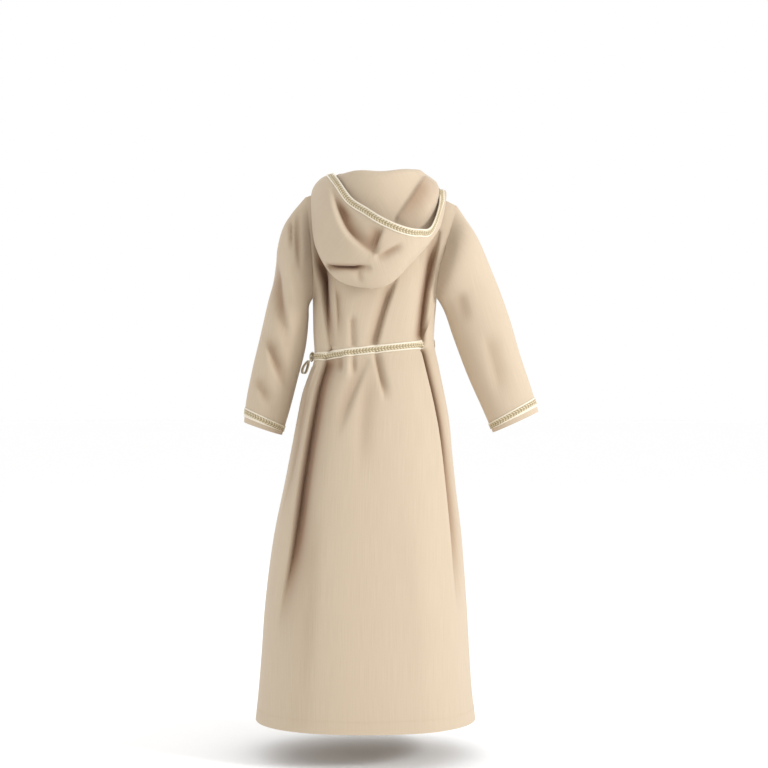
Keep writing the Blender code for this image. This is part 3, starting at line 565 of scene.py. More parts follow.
def beige_twill():
    """Matte beige twill: fine slanted ribs, faint streaks along the warp, a soft bloom, and painted
    shade in deep creases.
    """
    made, shader, wire = new_finish("beige_cloth", 0.86, 0.12)
    cut, across, along = cut_places(wire)
    ribs = wire.math("SINE", (across + along) * (2 * math.pi / RIB_PITCH))
    threads = wire.node("CombineXYZ", inputs={"X": across * STREAKS_ACROSS,
                                              "Y": along * STREAKS_ALONG})
    streaks, clouds, fuzz = threads.noise(1.0), cut.noise(9.0, 3.0), cut.noise(1800.0, 1.0)
    colour = (streaks * 0.8 + clouds * 0.2).mix(BEIGE_DARK, BEIGE_LIGHT)
    # Painted shade: the colour is darkened and reddened by the depth of the crease.
    painted_crease_shade = wire.node("Attribute", {"attribute_name": "painted_crease_shade"}, output=2)
    painted_crease_shade.mix(colour, PAINTED_SHADE_TINT, "MULTIPLY").into(shader, "Base Color")
    (ribs * 0.35 + fuzz * 0.4 + streaks * 0.6).bump(0.18, 0.0004).into(shader, "Normal")
    (0.80 + clouds * 0.12).into(shader, "Roughness")
    return made


twill = beige_twill()
back_base, front_base = panel_points("back"), panel_points("front")[:, ::-1]


# Sleeves. Each is one straight tube of the same twill, wide at the armhole and closed by an
# underarm seam, with a plain hem below the braid at its cuff. The table gives where the outer
# and inner outline lie, and how deep the sleeve is.
CUFF_PLAIN = 0.009
SLEEVE_ROWS, CUFF_ROWS = 96, 6
SleeveRow = namedtuple("SleeveRow", "outer_x outer_z inner_x inner_z depth y")
SLEEVE = {
    "left": [SleeveRow(*row) for row in [
        (0.165, -0.049, 0.1325, -0.218, 0.104, 0.008),
        (0.2035, -0.19, 0.1335, -0.238, 0.1, 0.004),
        (0.2238, -0.274, 0.139, -0.29, 0.096, -0.008),
        (0.2405, -0.341, 0.156, -0.358, 0.09, -0.018),
        (0.253, -0.405, 0.174, -0.424, 0.082, -0.028),
        (0.256, -0.434, 0.185, -0.458, 0.078, -0.034),
    ]],
    "right": [SleeveRow(*row) for row in [
        (-0.159, -0.063, -0.1085, -0.213, 0.1, 0.008),
        (-0.211, -0.17, -0.1135, -0.222, 0.082, 0.006),
        (-0.2365, -0.237, -0.1335, -0.276, 0.076, -0.003),
        (-0.26, -0.315, -0.163, -0.353, 0.07, -0.009),
        (-0.279, -0.37, -0.188, -0.408, 0.062, -0.015),
        (-0.293, -0.414, -0.208, -0.453, 0.058, -0.02),
    ]],
}
SLEEVE_FOLDS = {
    "left": folds("back", [
        (-0.013, 0.007, 0.013, 0.1, 0.1, 0.0, [(0.194, -0.13), (0.185, -0.205), (0.17, -0.29)]),
        (-0.011, 0.014, 0.006, 0.1, 0.1, 0.0, [(0.213, -0.27), (0.194, -0.325), (0.168, -0.375)]),
        (-0.008, 0.014, 0.006, 0.1, 0.1, 0.0, [(0.236, -0.345), (0.218, -0.38), (0.196, -0.408)]),
        (-0.01, 0.0045, 0.006, 0.1, 0.0, 0.002, [(0.151, -0.035), (0.149, -0.1), (0.147, -0.17)]),
        (-0.008, 0.0035, 0.005, 0.1, 0.0, 0.001, [(0.165, -0.055), (0.161, -0.13)]),
        (0.004, 0.008, 0.008, 0.0, 0.0, 0.0, [(0.174, -0.11), (0.162, -0.18), (0.15, -0.225)]),
    ]) + folds("front", [
        (-0.008, 0.012, 0.007, 0.1, 0.1, 0.0, [(0.15, -0.15), (0.205, -0.29)]),
        (-0.006, 0.01, 0.007, 0.1, 0.1, 0.0, [(0.16, -0.29), (0.22, -0.36)]),
    ]),
    "right": folds("back", [
        (-0.004, 0.012, 0.014, 0.0, 0.0, 0.0, [(-0.14, -0.19), (-0.158, -0.26)]),
        (-0.004, 0.006, 0.008, 0.0, 0.0, 0.0, [(-0.132, -0.06), (-0.124, -0.14)]),
        (-0.004, 0.02, 0.01, 0.0, 0.0, 0.0, [(-0.19, -0.26), (-0.226, -0.4)]),
    ]) + folds("front", [
        (-0.008, 0.007, 0.012, 0.1, 0.1, 0.0, [(-0.14, -0.14), (-0.215, -0.27)]),
        (-0.006, 0.007, 0.01, 0.1, 0.1, 0.0, [(-0.165, -0.29), (-0.24, -0.34)]),
    ]),
}


def sleeve_points(side):
    """Points of a sleeve: rows from the armhole down to the cuff, columns round the arm."""
    column = 0 if side == "left" else -1
    underarm = len(body_heights) - 1
    back, front = back_base[underarm:, column], front_base[underarm:, -1 - column]
    ring = np.concatenate([back, front[-2:0:-1]])
    turns = 2 * math.pi * np.arange(len(ring)) / len(ring)
    rings = [ring]
    for row in SLEEVE[side]:
        outer = np.array([row.outer_x, row.y, row.outer_z])
        inner = np.array([row.inner_x, row.y, row.inner_z])
        rings.append((outer + inner) / 2 - np.outer(np.cos(turns), (outer - inner) / 2)
                     + np.outer(np.sin(turns), (0, row.depth / 2, 0)))
    rings = np.stack(rings)
    length = np.mean(run_along(rings)[-1])
    tape = [1 - (CUFF_PLAIN + TAPE_WIDTH) / length, 1 - CUFF_PLAIN / length]
    stops = np.concatenate([np.linspace(0, tape[0], SLEEVE_ROWS)[:-1],
                            np.linspace(*tape, TAPE_ROWS)[:-1],
                            np.linspace(tape[1], 1, CUFF_ROWS)])
    return np.stack([even_steps(rings[:, k], stops) for k in range(len(ring))], axis=1)


cuff_rows = slice(SLEEVE_ROWS - 1, SLEEVE_ROWS + TAPE_ROWS - 1)
sleeve_base = {"left": sleeve_points("left"), "right": sleeve_points("right")[:, ::-1]}
bases = [(back_base, False), (front_base, False), (sleeve_base["left"], True),
         (sleeve_base["right"], True)]
tables = [BODY_FOLDS, BODY_FOLDS, SLEEVE_FOLDS["left"], SLEEVE_FOLDS["right"]]
laid = [folded(grid, normals, closed, table)
        for (grid, closed), normals, table in zip(bases, sewn_normals(bases), tables)]
worn = [(grid, closed) for (grid, _), (_, closed) in zip(laid, bases)]


# Hood. Two mirrored pieces of the same twill, joined by a seam over the middle and sewn to the
# neckline. It is worn down: each row of the table rises from the neckline to a crest, falls to
# the fold at the bottom of the pouch, and comes back up outside to the trimmed edge.
HOOD_COLUMNS = 216
HOOD_STAND, HOOD_INNER, HOOD_TURN, HOOD_OUTER = 11, 34, 6, 54
HOOD_UNDER, HOOD_OVER, HOOD_ROUND, HOOD_LAYERS = 0.0012, 0.0075, 0.0035, 0.0050
HoodRow = namedtuple("HoodRow", "azimuth stand lean fold edge puff")
HOOD = [HoodRow(*row) for row in [
    (180, 0.01, 0.008, (0.007, -0.102, -0.062), (0.008, -0.108, -0.036), 0.001),
    (150, 0.012, 0.009, (0.06, -0.096, -0.038), (0.046, -0.082, -0.01), 0.002),
    (120, 0.016, 0.008, (0.106, -0.054, -0.01), (0.078, -0.044, 0.012), 0.006),
    (90, 0.013, 0.008, (0.127, 0.002, -0.007), (0.087, 0.004, 0.026), 0.007),
    (65, 0.013, 0.01, (0.127, 0.046, -0.052), (0.076, 0.058, 0.008), 0.012),
    (45, 0.018, 0.012, (0.118, 0.086, -0.115), (0.053, 0.094, -0.027), 0.014),
    (22, 0.022, 0.014, (0.082, 0.112, -0.174), (0.024, 0.12, -0.049), 0.012),
    (0, 0.023, 0.016, (0.03, 0.122, -0.192), (-0.003, 0.136, -0.067), 0.012),
    (-22, 0.023, 0.014, (-0.014, 0.122, -0.186), (-0.036, 0.138, -0.082), 0.01),
    (-45, 0.022, 0.012, (-0.054, 0.114, -0.148), (-0.068, 0.124, -0.087), 0.006),
    (-65, 0.021, 0.009, (-0.09, 0.09, -0.106), (-0.092, 0.094, -0.077), 0.002),
    (-78, 0.02, 0.007, (-0.109, 0.056, -0.074), (-0.105, 0.049, -0.039), 0.002),
    (-90, 0.02, 0.006, (-0.12, 0.012, -0.022), (-0.107, 0.013, -0.011), 0.0),
    (-120, 0.016, 0.006, (-0.1, -0.048, -0.022), (-0.084, -0.04, -0.004), 0.001),
    (-150, 0.012, 0.008, (-0.058, -0.095, -0.04), (-0.045, -0.081, -0.01), 0.002),
    (-180, 0.01, 0.008, (-0.007, -0.102, -0.062), (-0.008, -0.108, -0.036), 0.001),
]]
HOOD_FOLDS = folds("back", [
    (-0.01, 0.016, 0.005, 0.0, 0.4, 0.002,
     [(0.083, -0.015), (0.074, -0.052), (0.058, -0.088), (0.036, -0.112), (0.012, -0.13)]),
    (-0.003, 0.02, 0.006, 1.0, 0.0, 0.0, [(0.083, -0.012), (0.074, -0.052), (0.062, -0.082)]),
    (0.007, 0.006, 0.018, 0.0, 0.2, 0.0,
     [(0.095, -0.018), (0.082, -0.064), (0.064, -0.1), (0.04, -0.124), (0.016, -0.139)]),
    (-0.018, 0.005, 0.009, 0.7, 0.2, 0.008,
     [(0.094, -0.151), (0.072, -0.15), (0.045, -0.152), (0.022, -0.156)]),
    (-0.009, 0.004, 0.02, 0.4, 0.2, 0.003, [(-0.006, -0.076), (0.004, -0.105), (0.016, -0.134)]),
    (-0.006, 0.005, 0.01, 0.6, 0.0, 0.002, [(0.002, -0.137), (-0.02, -0.124), (-0.043, -0.112)]),
    (-0.003, 0.004, 0.006, 0.0, 0.0, 0.0, [(0.04, -0.158), (0.034, -0.188)]),
])
INSIDE_FOLDS = folds("back", [
    (0.007, 0.028, 0.0025, 0.6, 0.6, 0.0, [(-0.078, 0.012), (-0.052, -0.03), (-0.03, -0.064)]),
])

# How the hood lies: pressed together at its right end, rolled over less towards its two front
# corners, which stand a little apart, with its folds dying out near seams, turn and trim. Rise
# is the share of lean and stand that it has halfway up from the neckline to its crest.
HOOD_CLOSE, HOOD_CLOSE_AT, HOOD_CLOSE_SPAN = 0.016, -78, 24
HOOD_PRESSED, HOOD_PRESSED_AT = 0.6, -90
HOOD_ROLL, HOOD_ROLL_GROWS = 0.3, 4
HOOD_RISE_LEAN, HOOD_RISE_STAND, HOOD_TUCK = 0.35, 0.62, 0.8
# How much stronger the hood's painted crease shade is than its fold depth alone.
HOOD_SHADE = 1.8
V_GAP, V_COLUMNS = 0.0027, 6
TRIM_ROOM = 0.004
LAYER_BELOW, LAYER_START, LAYER_ROWS, LAYER_POWER, LAYER_EASE = 2, 4, 6, 3, 0.4
FOLD_ROWS, INSIDE_ROWS, NECK_ROWS = 6, 8, 4
EDGE_CALM, EDGE_ROWS, EDGE_SPAN = 0.8, 20, 8
LIFT_COLUMNS = 26
SETTLE_GOES, SETTLE_STEPS = 3, 24
HOOD_FINE_STEPS = 321

# Points of the hood's route where a stretch of rows ends, and each stretch's number of rows: up
# to the crest, down inside, round the turn in two, up outside, and the trim
ROUTE_MARKS = [0, 2, 4, 5, 6]
ROUTE_ROWS = [HOOD_STAND, HOOD_INNER, HOOD_TURN, HOOD_TURN, HOOD_OUTER, TAPE_ROWS - 1]


def shell_tree(grids):
    """A search tree of the faces of several grids."""
    points, faces = [], []
    for grid, closed in grids:
        index = np.arange(grid[..., 0].size).reshape(grid.shape[:2]) + len(points)
        points += grid.reshape(-1, 3).tolist()
        faces += corners(ringed(index, closed)).reshape(-1, 4).tolist()
    return BVHTree.FromPolygons(points, faces)


def hood_points(shell):
    """Points of the whole hood: rows from the neckline to the trimmed edge."""
    azimuths = np.linspace(180, -180, HOOD_COLUMNS + 1)
    places = [-row.azimuth for row in HOOD]
    stand, lean, fold, edge, puff = [
        table_curve(-azimuths, places, np.reshape([row[i] for row in HOOD], (len(HOOD), -1)))
        for i in range(1, 6)]
    base = neck_points(azimuths)
    out = unit(base * (1, 1, 0))
    crest = base + out * lean + stand * (0, 0, 1)
    rise = base + out * lean * HOOD_RISE_LEAN + stand * (0, 0, HOOD_RISE_STAND)
    lift = np.array([shell.find_nearest(point)[1] for point in fold])
    spread = np.hanning(2 * LIFT_COLUMNS + 1)
    lift = np.pad(lift, ((LIFT_COLUMNS, LIFT_COLUMNS), (0, 0)), mode="edge")
    lift = unit(np.stack([np.convolve(lift[:, a], spread, "valid") for a in range(3)], axis=1))
    tuck = unit(crest - fold) * HOOD_ROUND * HOOD_TUCK
    turn_in = fold - lift * HOOD_ROUND + tuck
    turn_out = fold + lift * HOOD_ROUND + tuck
    close = HOOD_CLOSE * np.exp(-((azimuths[:, None] - HOOD_CLOSE_AT) / HOOD_CLOSE_SPAN) ** 2)
    inside = (crest + turn_in) / 2 + lift * close
    route = np.stack([base, rise, crest, inside, turn_in, fold, turn_out,
                      (turn_out + edge) / 2 + lift * puff, edge])
    columns = []
    for line in route.transpose(1, 0, 2):
        chord = run_along(line)
        samples = np.linspace(0, chord[-1], HOOD_FINE_STEPS)
        fine = table_curve(samples, chord, line)
        run = run_along(fine)
        marks = np.interp(chord[ROUTE_MARKS], samples, run)
        marks = [*marks, max(run[-1] - TAPE_WIDTH, marks[-1] + TRIM_ROOM), run[-1]]
        at = np.concatenate([np.linspace(a, b, n + 1)[:-1]
                             for a, b, n in zip(marks, marks[1:], ROUTE_ROWS)] + [[run[-1]]])
        columns.append(np.stack([np.interp(at, run, fine[:, a]) for a in range(3)], axis=1))
    return np.stack(columns, axis=1)


def clear_of(grid, shell, low, side=1):
    """Push points out until they lie at least low from the shell."""
    for spot in np.ndindex(grid.shape[:2]):
        place, normal, _, _ = shell.find_nearest(grid[spot])
        out = np.array(normal) * side
        gap = (grid[spot] - np.array(place)) @ out
        if gap < low[spot]:
            grid[spot] += out * (low[spot] - gap)
    return grid


def settled(grid, shell, low, side=1):
    """Points cleared of the shell in a few goes, each by a push spread over the cloth."""
    for _ in range(SETTLE_GOES):
        push = clear_of(grid.copy(), shell, low, side) - grid
        for _ in range(SETTLE_STEPS):
            wide = np.pad(push, ((1, 1), (1, 1), (0, 0)), mode="edge")
            near = (wide[:-2, 1:-1] + wide[2:, 1:-1] + wide[1:-1, :-2] + wide[1:-1, 2:]) / 4
            push = (push + near) / 2
        grid = grid + push
    return grid


def hood_worn():
    """The whole hood laid on the robe, its two layers kept apart, with its folds, and the depth that
    sets its painted crease shade.
    """
    robe = shell_tree(worn)
    cape = hood_points(robe)
    turn = HOOD_STAND + HOOD_INNER
    after = turn + 2 * HOOD_TURN
    rows = np.arange(len(cape))
    low = HOOD_UNDER + (HOOD_OVER - HOOD_UNDER) * ease((rows - turn) / (after - turn))
    low[0] = 0
    share = 1 - np.abs(np.linspace(-1, 1, HOOD_COLUMNS + 1))
    azimuths = np.linspace(180, -180, HOOD_COLUMNS + 1)
    pressed = 1 - HOOD_PRESSED * np.exp(-((azimuths - HOOD_PRESSED_AT) / HOOD_CLOSE_SPAN) ** 2)
    rolled = np.clip(HOOD_ROLL + share * HOOD_ROLL_GROWS, 0, 1) * pressed
    neckline = cape[0].copy()
    cape = settled(cape, robe, np.outer(low, rolled))
    cape[0] = neckline
    inner = shell_tree([(cape[HOOD_STAND - LAYER_BELOW:turn + 1], False)])
    layers = np.outer(ease((rows[after:] - after + LAYER_START) / LAYER_ROWS),
                      rolled ** LAYER_POWER)
    cape[after:] = settled(cape[after:], inner, HOOD_LAYERS * layers, -1)
    normals = grid_normals(cape, False)
    depth, lean = fold_moves(cape, HOOD_FOLDS)
    inside, _ = fold_moves(cape, INSIDE_FOLDS)
    calm = EDGE_CALM * ease((rows - rows[-1] + EDGE_ROWS) / EDGE_SPAN)
    fade = ease((rows - turn - HOOD_TURN) / FOLD_ROWS) * (1 - calm)
    stays = ease((turn - rows) / INSIDE_ROWS) * ease(rows / NECK_ROWS)
    cape = (cape + (normals * depth[..., None] + lean) * fade[:, None, None]
            - normals * (inside * stays[:, None])[..., None])
    cape[after:] = settled(cape[after:], inner, LAYER_EASE * HOOD_LAYERS * layers, -1)
    for corner, inner_column in ((0, V_COLUMNS), (-1, -1 - V_COLUMNS)):
        way = unit(cape[:, inner_column] - cape[:, corner])
        for k in range(V_COLUMNS):
            column = k if corner == 0 else -1 - k
            cape[:, column] += way * V_GAP * ease(1 - k / V_COLUMNS)
    # Painted crease shade of the hood: its fold depth, made stronger, and its inside folds.
    return cape, HOOD_SHADE * (depth * fade[:, None] - np.abs(inside) * stays[:, None])


laid.append(hood_worn())
worn.append((laid[-1][0], False))
worn_normals = sewn_normals(worn)
back_worn, front_worn, left_worn, right_worn, cape = [grid for grid, closed in worn]
back_out, front_out, left_out, right_out, cape_out = worn_normals
centre = HOOD_COLUMNS // 2
halves = {"left": slice(0, centre + 1), "right": slice(centre, None)}


def cut_size(grid, closed=False):
    """A piece's greatest width and mean length along its cloth, and its area."""
    ring = ringed(grid, closed)
    width, length = float(run_across(ring)[:, -1].max()), float(run_along(ring)[-1].mean())
    faces = np.cross(ring[1:, 1:] - ring[:-1, :-1], ring[1:, :-1] - ring[:-1, 1:])
    return (width, length), float(np.linalg.norm(faces, axis=-1).sum() / 2)


CLOTH_NAMES = ["panel_back", "panel_front", "sleeve_left", "sleeve_right"]
# Each piece takes its fold depth along, for its painted crease shade.
cloth = [(name, grid, normals, closed, depth) for name, (grid, closed), normals, (_, depth)
         in zip(CLOTH_NAMES, worn, worn_normals, laid)]
cloth += [("hood_" + side, cape[:, part], cape_out[:, part], False, laid[-1][1][:, part])
          for side, part in halves.items()]
for name, grid, normals, closed, depth in cloth:
    piece = cloth_piece(name + "_cloth", grid, normals, closed, twill, depth)
    flat, area = cut_size(grid, closed)
    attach(piece, "root")
    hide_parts(name)


# Braid on the hood and cuffs. A woven gold tape 14.5 mm wide, with slanted links that meet as
# chevrons between two raised cream satin edges, sewn along the hood's edge and round each
# cuff, a little above its hem.
TAPE_LIFT = 0.0003
SATIN_WIDTH, SATIN_RISE, SATIN_ROUND = 0.0028, 0.0007, 0.7
SATIN_BLEND, THREAD_PITCH = 0.0003, 0.0007
SATIN = (0.70, 0.62, 0.48), (0.86, 0.79, 0.65)
GROUND = (0.26, 0.20, 0.11), (0.42, 0.34, 0.21)
LINK_GOLD = (0.50, 0.41, 0.25), (0.74, 0.64, 0.44)
LINK_SIZES = {"Spacing": 0.0056, "Link Length": 0.0062, "Link Width": 0.0026, "Link Rise": 0.0013,
              "Slant": math.radians(42), "Apart": 0.0023}
BEAD_SEGMENTS, BEAD_RINGS = 8, 5


def gold_braid(name, width):
    """The tape itself: cream satin edges and a darker woven ground, with fine cross threads."""
    made, shader, wire = new_finish(name, 0.5, 0.1)
    cut, along, across = cut_places(wire)
    satin_from = width / 2 - SATIN_WIDTH
    edge = wire.node("MapRange", {"interpolation_type": "SMOOTHSTEP"},
                     {"Value": wire.math("ABSOLUTE", across - width / 2),
                      "From Min": satin_from - SATIN_BLEND, "From Max": satin_from + SATIN_BLEND})
    threads = wire.math("SINE", along * (2 * math.pi / THREAD_PITCH))
    tint = cut.noise(160.0)
    edge.mix(tint.mix(*GROUND), tint.mix(*SATIN)).into(shader, "Base Color")
    (threads * 0.5 + tint).bump(0.35, 0.0003).into(shader, "Normal")
    (0.62 - edge * 0.22).into(shader, "Roughness")
    return made


def gold_thread():
    """The raised links: twisted gold-olive thread with a soft gleam."""
    made, shader, wire = new_finish("gold_thread", 0.42, 0.1)
    tint = wire.node("TexCoord", output=3).noise(220.0)
    tint.mix(*LINK_GOLD).into(shader, "Base Color")
    tint.bump(0.3, 0.0003).into(shader, "Normal")
    shader.inputs["Metallic"].default_value = 0.15
    return made


def line_tree(name, sizes, twin):
    """A tree that lays beads along a line: a slanted pair at each step, or a single one."""
    tree = bpy.data.node_groups.new(name, "GeometryNodeTree")
    tree.interface.new_socket("Line", in_out="INPUT", socket_type="NodeSocketGeometry")
    for label, value in sizes.items():
        socket = tree.interface.new_socket(label, in_out="INPUT", socket_type="NodeSocketFloat")
        socket.default_value = value
    tree.interface.new_socket("Finish", in_out="INPUT", socket_type="NodeSocketMaterial")
    tree.interface.new_socket("Beads", in_out="OUTPUT", socket_type="NodeSocketGeometry")
    given = tree.nodes.new("NodeGroupInput")
    sockets = {label: Wire(tree, given.outputs[label]) for label in ["Line", *sizes, "Finish"]}
    wire = Wire(tree)
    curve = wire.node("GeometryNodeMeshToCurve", inputs={"Mesh": sockets["Line"]})
    curve = wire.node("GeometryNodeResampleCurve", {"mode": "LENGTH"},
                      {"Curve": curve, "Length": sockets["Spacing"]})
    ball = wire.node("GeometryNodeMeshUVSphere", inputs={
        "Segments": BEAD_SEGMENTS, "Rings": BEAD_RINGS, "Radius": 0.5})
    size = wire.node("CombineXYZ", inputs={"X": sockets["Link Length"], "Y": sockets["Link Width"],
                                           "Z": sockets["Link Rise"]})
    bead = wire.node("GeometryNodeTransform", inputs={"Geometry": ball, "Scale": size})
    if twin:
        pair = []
        for hand in (1, -1):
            turn = wire.node("CombineXYZ", inputs={"Z": sockets["Slant"] * hand})
            move = wire.node("CombineXYZ", inputs={"Y": sockets["Apart"] * hand})
            pair.append(wire.node("GeometryNodeTransform", inputs={
                "Geometry": bead, "Rotation": turn, "Translation": move}))
        joined = tree.nodes.new("GeometryNodeJoinGeometry")
        for one in pair:
            tree.links.new(one.socket, joined.inputs[0])
        bead = Wire(tree, joined.outputs[0])
    out = wire.node("GeometryNodeInputNamedAttribute", {"data_type": "FLOAT_VECTOR"},
                    {"Name": "out"})
    tangent = wire.node("GeometryNodeInputTangent")
    turned = wire.node("FunctionNodeAxesToRotation", {"primary_axis": "Z", "secondary_axis": "X"},
                       {"Primary Axis": out, "Secondary Axis": tangent})
    beads = wire.node("GeometryNodeInstanceOnPoints",
                      inputs={"Points": curve, "Instance": bead, "Rotation": turned})
    beads = wire.node("GeometryNodeRealizeInstances", inputs={"Geometry": beads})
    beads = wire.node("GeometryNodeSetShadeSmooth", inputs={"Geometry": beads})
    beads = wire.node("GeometryNodeSetMaterial",
                      inputs={"Geometry": beads, "Material": sockets["Finish"]})
    tree.links.new(beads.socket, tree.nodes.new("NodeGroupOutput").inputs[0])
    return tree


def laid_along(name, tree, lines, sizes, finish):
    """Beads laid by a tree along several lines of points with their normals."""
    points, outs, edges = [], [], []
    for line, normals, closed in lines:
        first, count = len(points), len(line)
        points += line.tolist()
        outs += normals.tolist()
        edges += [(first + i, first + i + 1) for i in range(count - 1)]
        edges += [(first + count - 1, first)] if closed else []
    mesh = bpy.data.meshes.new(name)
    mesh.from_pydata(points, edges, [])
    mesh.attributes.new("out", "FLOAT_VECTOR", "POINT").data.foreach_set("vector",
                                                                         np.ravel(outs))
    piece = placed(name, mesh)
    modifier = piece.modifiers.new(name, "NODES")
    modifier.node_group = tree
    values = {**sizes, "Finish": finish}
    for item in tree.interface.items_tree:
        if item.name in values:
            modifier[item.identifier] = values[item.name]
    laid_out = piece.evaluated_get(bpy.context.evaluated_depsgraph_get())
    made = bpy.data.meshes.new_from_object(laid_out)
    piece.modifiers.clear()
    piece.data = made
    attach(piece, "root")
    return piece


def tape_piece(name, strip, normals, closed=False, lying=()):
    """A braid tape on points of the cloth, rows across it; lying, what else lies on it, is not used.
    """
    middle = (len(strip) - 1) / 2
    from_edge = TAPE_WIDTH / 2 * (1 - np.abs(np.arange(len(strip)) - middle) / middle)
    rise = SATIN_RISE * np.sin(np.pi * np.clip(from_edge / SATIN_WIDTH, 0, 1)) ** SATIN_ROUND
    top = strip + normals * (TAPE_LIFT + CLOTH + rise)[:, None, None]
    piece = cloth_piece(name + "_tape", top, normals, closed, braid)
    half = len(strip) // 2
    ridge = strip[half] + normals[half] * (TAPE_LIFT + CLOTH)
    links = laid_along(name + "_links", chevrons, [(ridge, normals[half], closed)], LINK_SIZES,
                       thread)
    flat, area = cut_size(strip, closed)
    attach(piece, "root")
    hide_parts(name)


braid, thread = gold_braid("gold_braid", TAPE_WIDTH), gold_thread()
chevrons = line_tree("chevron_links", LINK_SIZES, True)
for side, part in halves.items():
    tape_piece("hood_trim_" + side, cape[-TAPE_ROWS:, part], cape_out[-TAPE_ROWS:, part])
tape_piece("cuff_trim_left", left_worn[cuff_rows], left_out[cuff_rows], True)
tape_piece("cuff_trim_right", right_worn[cuff_rows], right_out[cuff_rows], True)


# Belt. The same braid tape, in one stretch across the back from the right side seam and in
# another across the front, tied at the wearer's left in a knot with one bow loop and two ends.
COLUMN_SHARE = 1 / 26
TIE_SHARE, BELT_FRONT_SHARE, NEAR_TIE = 3 * COLUMN_SHARE, 22 * COLUMN_SHARE, 0.01
WRAP_COLUMNS, FRONT_COLUMNS, DOWN_ROWS = 40, 150, 8
KNOT_REACH, KNOT_SIZE, KNOT_LIFT = 0.0098, (0.0045, 0.0130, 0.0095), 0.0006
KNOT_STEPS, KNOT_SPREAD = 36, 0.62
KnotTurn = namedtuple("KnotTurn", "slant shift size")
KNOT = [KnotTurn(78, 0.10, 1.00), KnotTurn(20, 0.0, 0.90), KnotTurn(-48, -0.15, 0.95)]
END_TOP, END_LONG, END_SHORT, END_GAP = -0.319, -0.520, -0.425, 0.0015
LOOP_OUT, LOOP_BELOW, LOOP_TURN = 0.0092, 0.0072, math.radians(35)
LOOP_WIDTH, LOOP_INNER, LOOP_DROP, LOOP_BAND = 0.009, 0.004, 0.027, 0.009
LOOP_STEPS, LOOP_ROUND = 64, 0.7
front_left, front_left_out = front_worn[:, ::-1], front_out[:, ::-1]


def across_panel(grid, rows, at):
    """Points of a panel's rows at given shares of its width from the wearer's left."""
    return np.stack([[np.interp(at, shares, line[:, axis]) for line in grid[rows]]
                     for axis in range(3)], axis=-1)


def belt_strip(at):
    """Points and normals of the belt band of the front, at given shares of its width."""
    return across_panel(front_left, belt_rows, at), unit(across_panel(front_left_out, belt_rows, at))


def tied(name, band, replaced, finish):
    """A closed band of the tie, turned so that it faces outwards."""
    out = grid_normals(band, True)
    if np.sum(out * (band - band.mean(axis=(0, 1)))) < 0:
        band, out = band[:, ::-1], -out[:, ::-1]
    piece = cloth_piece(name, band, out, True, finish)
    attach(piece, "root")
    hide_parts(replaced)
    return piece


belt_middle = TAPE_ROWS // 2
tie_point, tie_out = [band[belt_middle, 0] for band in belt_strip([TIE_SHARE])]
near_tie = across_panel(front_left, belt_rows, TIE_SHARE + NEAR_TIE * np.array([-1, 1]))[belt_middle]
down = front_left[belt_rows.start - DOWN_ROWS] - front_left[belt_rows.start]
down = unit(np.array([np.interp(TIE_SHARE, shares, down[:, axis]) for axis in range(3)]))
tie_along = near_tie[1] - near_tie[0]
share_reach = KNOT_REACH * 2 * NEAR_TIE / np.linalg.norm(tie_along)
tie_along = unit(tie_along - tie_out * (tie_along @ tie_out))
tie_frame = np.array([tie_out, tie_along, np.cross(tie_along, tie_out)])
knot_middle = tie_point + tie_out * (KNOT_SIZE[0] + KNOT_LIFT)
turns = 2 * math.pi * np.arange(KNOT_STEPS) / KNOT_STEPS
tie = []
for i, wind in enumerate(KNOT):
    slant = math.radians(wind.slant)
    way = np.array([0, math.cos(slant), math.sin(slant)])
    side = np.array([0, -math.sin(slant), math.cos(slant)])
    ring = np.outer(np.cos(turns), (1, 0, 0)) + np.outer(np.sin(turns), way)
    reaches = np.linspace(-KNOT_SPREAD, KNOT_SPREAD, TAPE_ROWS) + wind.shift
    ball = np.array([ring * math.cos(reach) + side * math.sin(reach) for reach in reaches])
    band = knot_middle + (ball * KNOT_SIZE * wind.size) @ tie_frame
    tie.append(tied("belt_knot_turn_" + str(i + 1), band, "belt_knot", braid))

turns = 2 * math.pi * (np.arange(LOOP_STEPS) + 0.5) / LOOP_STEPS
wide = (np.sin(turns) * np.sin(turns / 2) ** LOOP_ROUND
        * np.where(turns < math.pi, LOOP_WIDTH, LOOP_INNER))
loop_face = np.array([math.cos(LOOP_TURN), math.sin(LOOP_TURN), 0])
loop_side = np.array([-math.sin(LOOP_TURN), math.cos(LOOP_TURN), 0])
loop_line = (tie_point + tie_out * LOOP_OUT + down * LOOP_BELOW + np.outer(wide, loop_face)
             + np.outer(LOOP_DROP / 2 * (1 - np.cos(turns)), down))
band = np.stack([loop_line + loop_side * step
                 for step in np.linspace(-LOOP_BAND / 2, LOOP_BAND / 2, TAPE_ROWS)])
tie.append(tied("belt_bow_loop_tape", band, "belt_bow_loop", gold_braid("loop_braid", LOOP_BAND)))

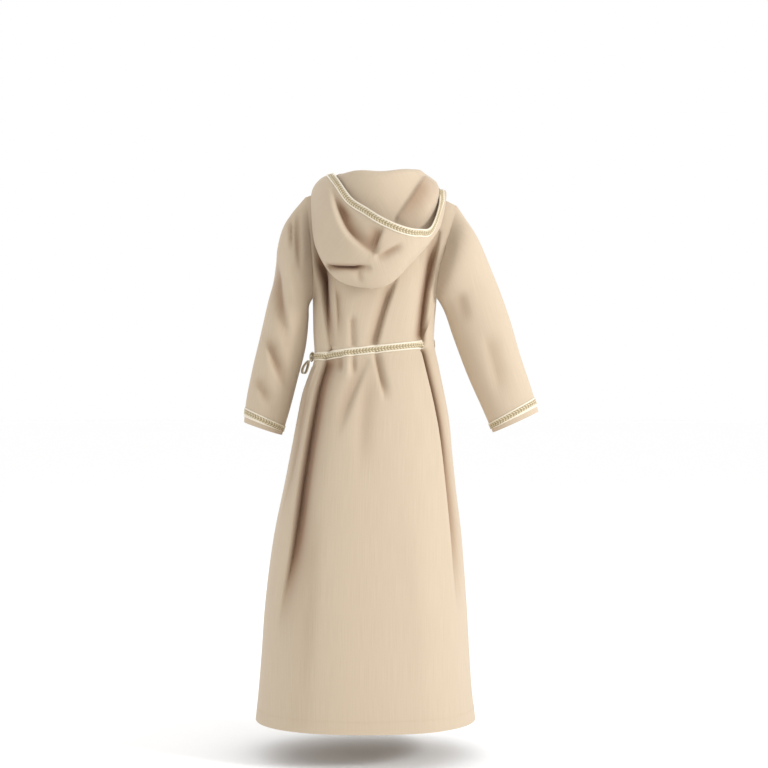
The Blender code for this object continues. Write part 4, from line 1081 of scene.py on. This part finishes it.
wrap_points, wrap_out = belt_strip(np.linspace(TIE_SHARE - share_reach, 0, WRAP_COLUMNS)[:-1])
tape_piece("belt_back", np.concatenate([wrap_points, back_worn[belt_rows]], axis=1),
           np.concatenate([wrap_out, back_out[belt_rows]], axis=1))
front_stretch = np.linspace(BELT_FRONT_SHARE, TIE_SHARE + share_reach, FRONT_COLUMNS)
tape_piece("belt_front", *belt_strip(front_stretch), lying=tie)
for name, lowest, first in (("belt_end_long", END_LONG, TIE_SHARE),
                            ("belt_end_short", END_SHORT, TIE_SHARE + COLUMN_SHARE)):
    hung = np.flatnonzero((body_heights > lowest) & (body_heights < END_TOP))[::-1]
    reach = across_panel(front_left, hung, [first, first + COLUMN_SHARE])
    share = COLUMN_SHARE * TAPE_WIDTH / np.linalg.norm(reach[:, 1] - reach[:, 0], axis=-1)
    stops = np.linspace(END_GAP / TAPE_WIDTH, 1, TAPE_ROWS)
    strip, out = [np.stack([across_panel(grid, slice(row, row + 1), first + one * stops)[0]
                            for row, one in zip(hung, share)], axis=1)
                  for grid in (front_left, front_left_out)]
    tape_piece(name, strip, unit(out))


# Sewing. Beige thread shows as small topstitches beside the hood's middle seam, along its
# neckline, down both armholes and above the hem, all laid by one tree.
STITCH_SIZES = {"Spacing": 0.0032, "Link Length": 0.0023, "Link Width": 0.0005, "Link Rise": 0.0005}
STITCH_OUT = 0.0001
HEM_HEIGHT, NECK_ROW, ARMHOLE_COLUMN = 0.020, 2, 4
THREAD_BEIGE = (0.50, 0.38, 0.26), (0.60, 0.47, 0.33)


def sewing_thread():
    """Matte beige sewing thread."""
    made, shader, wire = new_finish("beige_thread", 0.6)
    wire.node("TexCoord", output=3).noise(300.0).mix(*THREAD_BEIGE).into(shader, "Base Color")
    return made


stitches, sewing = line_tree("stitches", STITCH_SIZES, False), sewing_thread()
panels = [(back_worn, back_out), (front_worn, front_out)]
hem = int(np.searchsorted(body_heights, BODY[0].z + HEM_HEIGHT))
yoke, seam = slice(len(body_heights), None), slice(HOOD_STAND, -TAPE_ROWS)
lines = {
    "hem": [(grid[hem], out[hem]) for grid, out in panels],
    "neck": [(cape[NECK_ROW, 1:-1], cape_out[NECK_ROW, 1:-1])],
    "hood_seam": [(cape[seam, k], cape_out[seam, k]) for k in (centre - 1, centre + 1)],
    "armholes": [(grid[yoke, k], out[yoke, k]) for grid, out in panels
                 for k in (ARMHOLE_COLUMN, -1 - ARMHOLE_COLUMN)],
}
for name, rows in lines.items():
    piece = laid_along("stitches_" + name, stitches,
                       [(line + out * STITCH_OUT, out, False) for line, out in rows],
                       STITCH_SIZES, sewing)
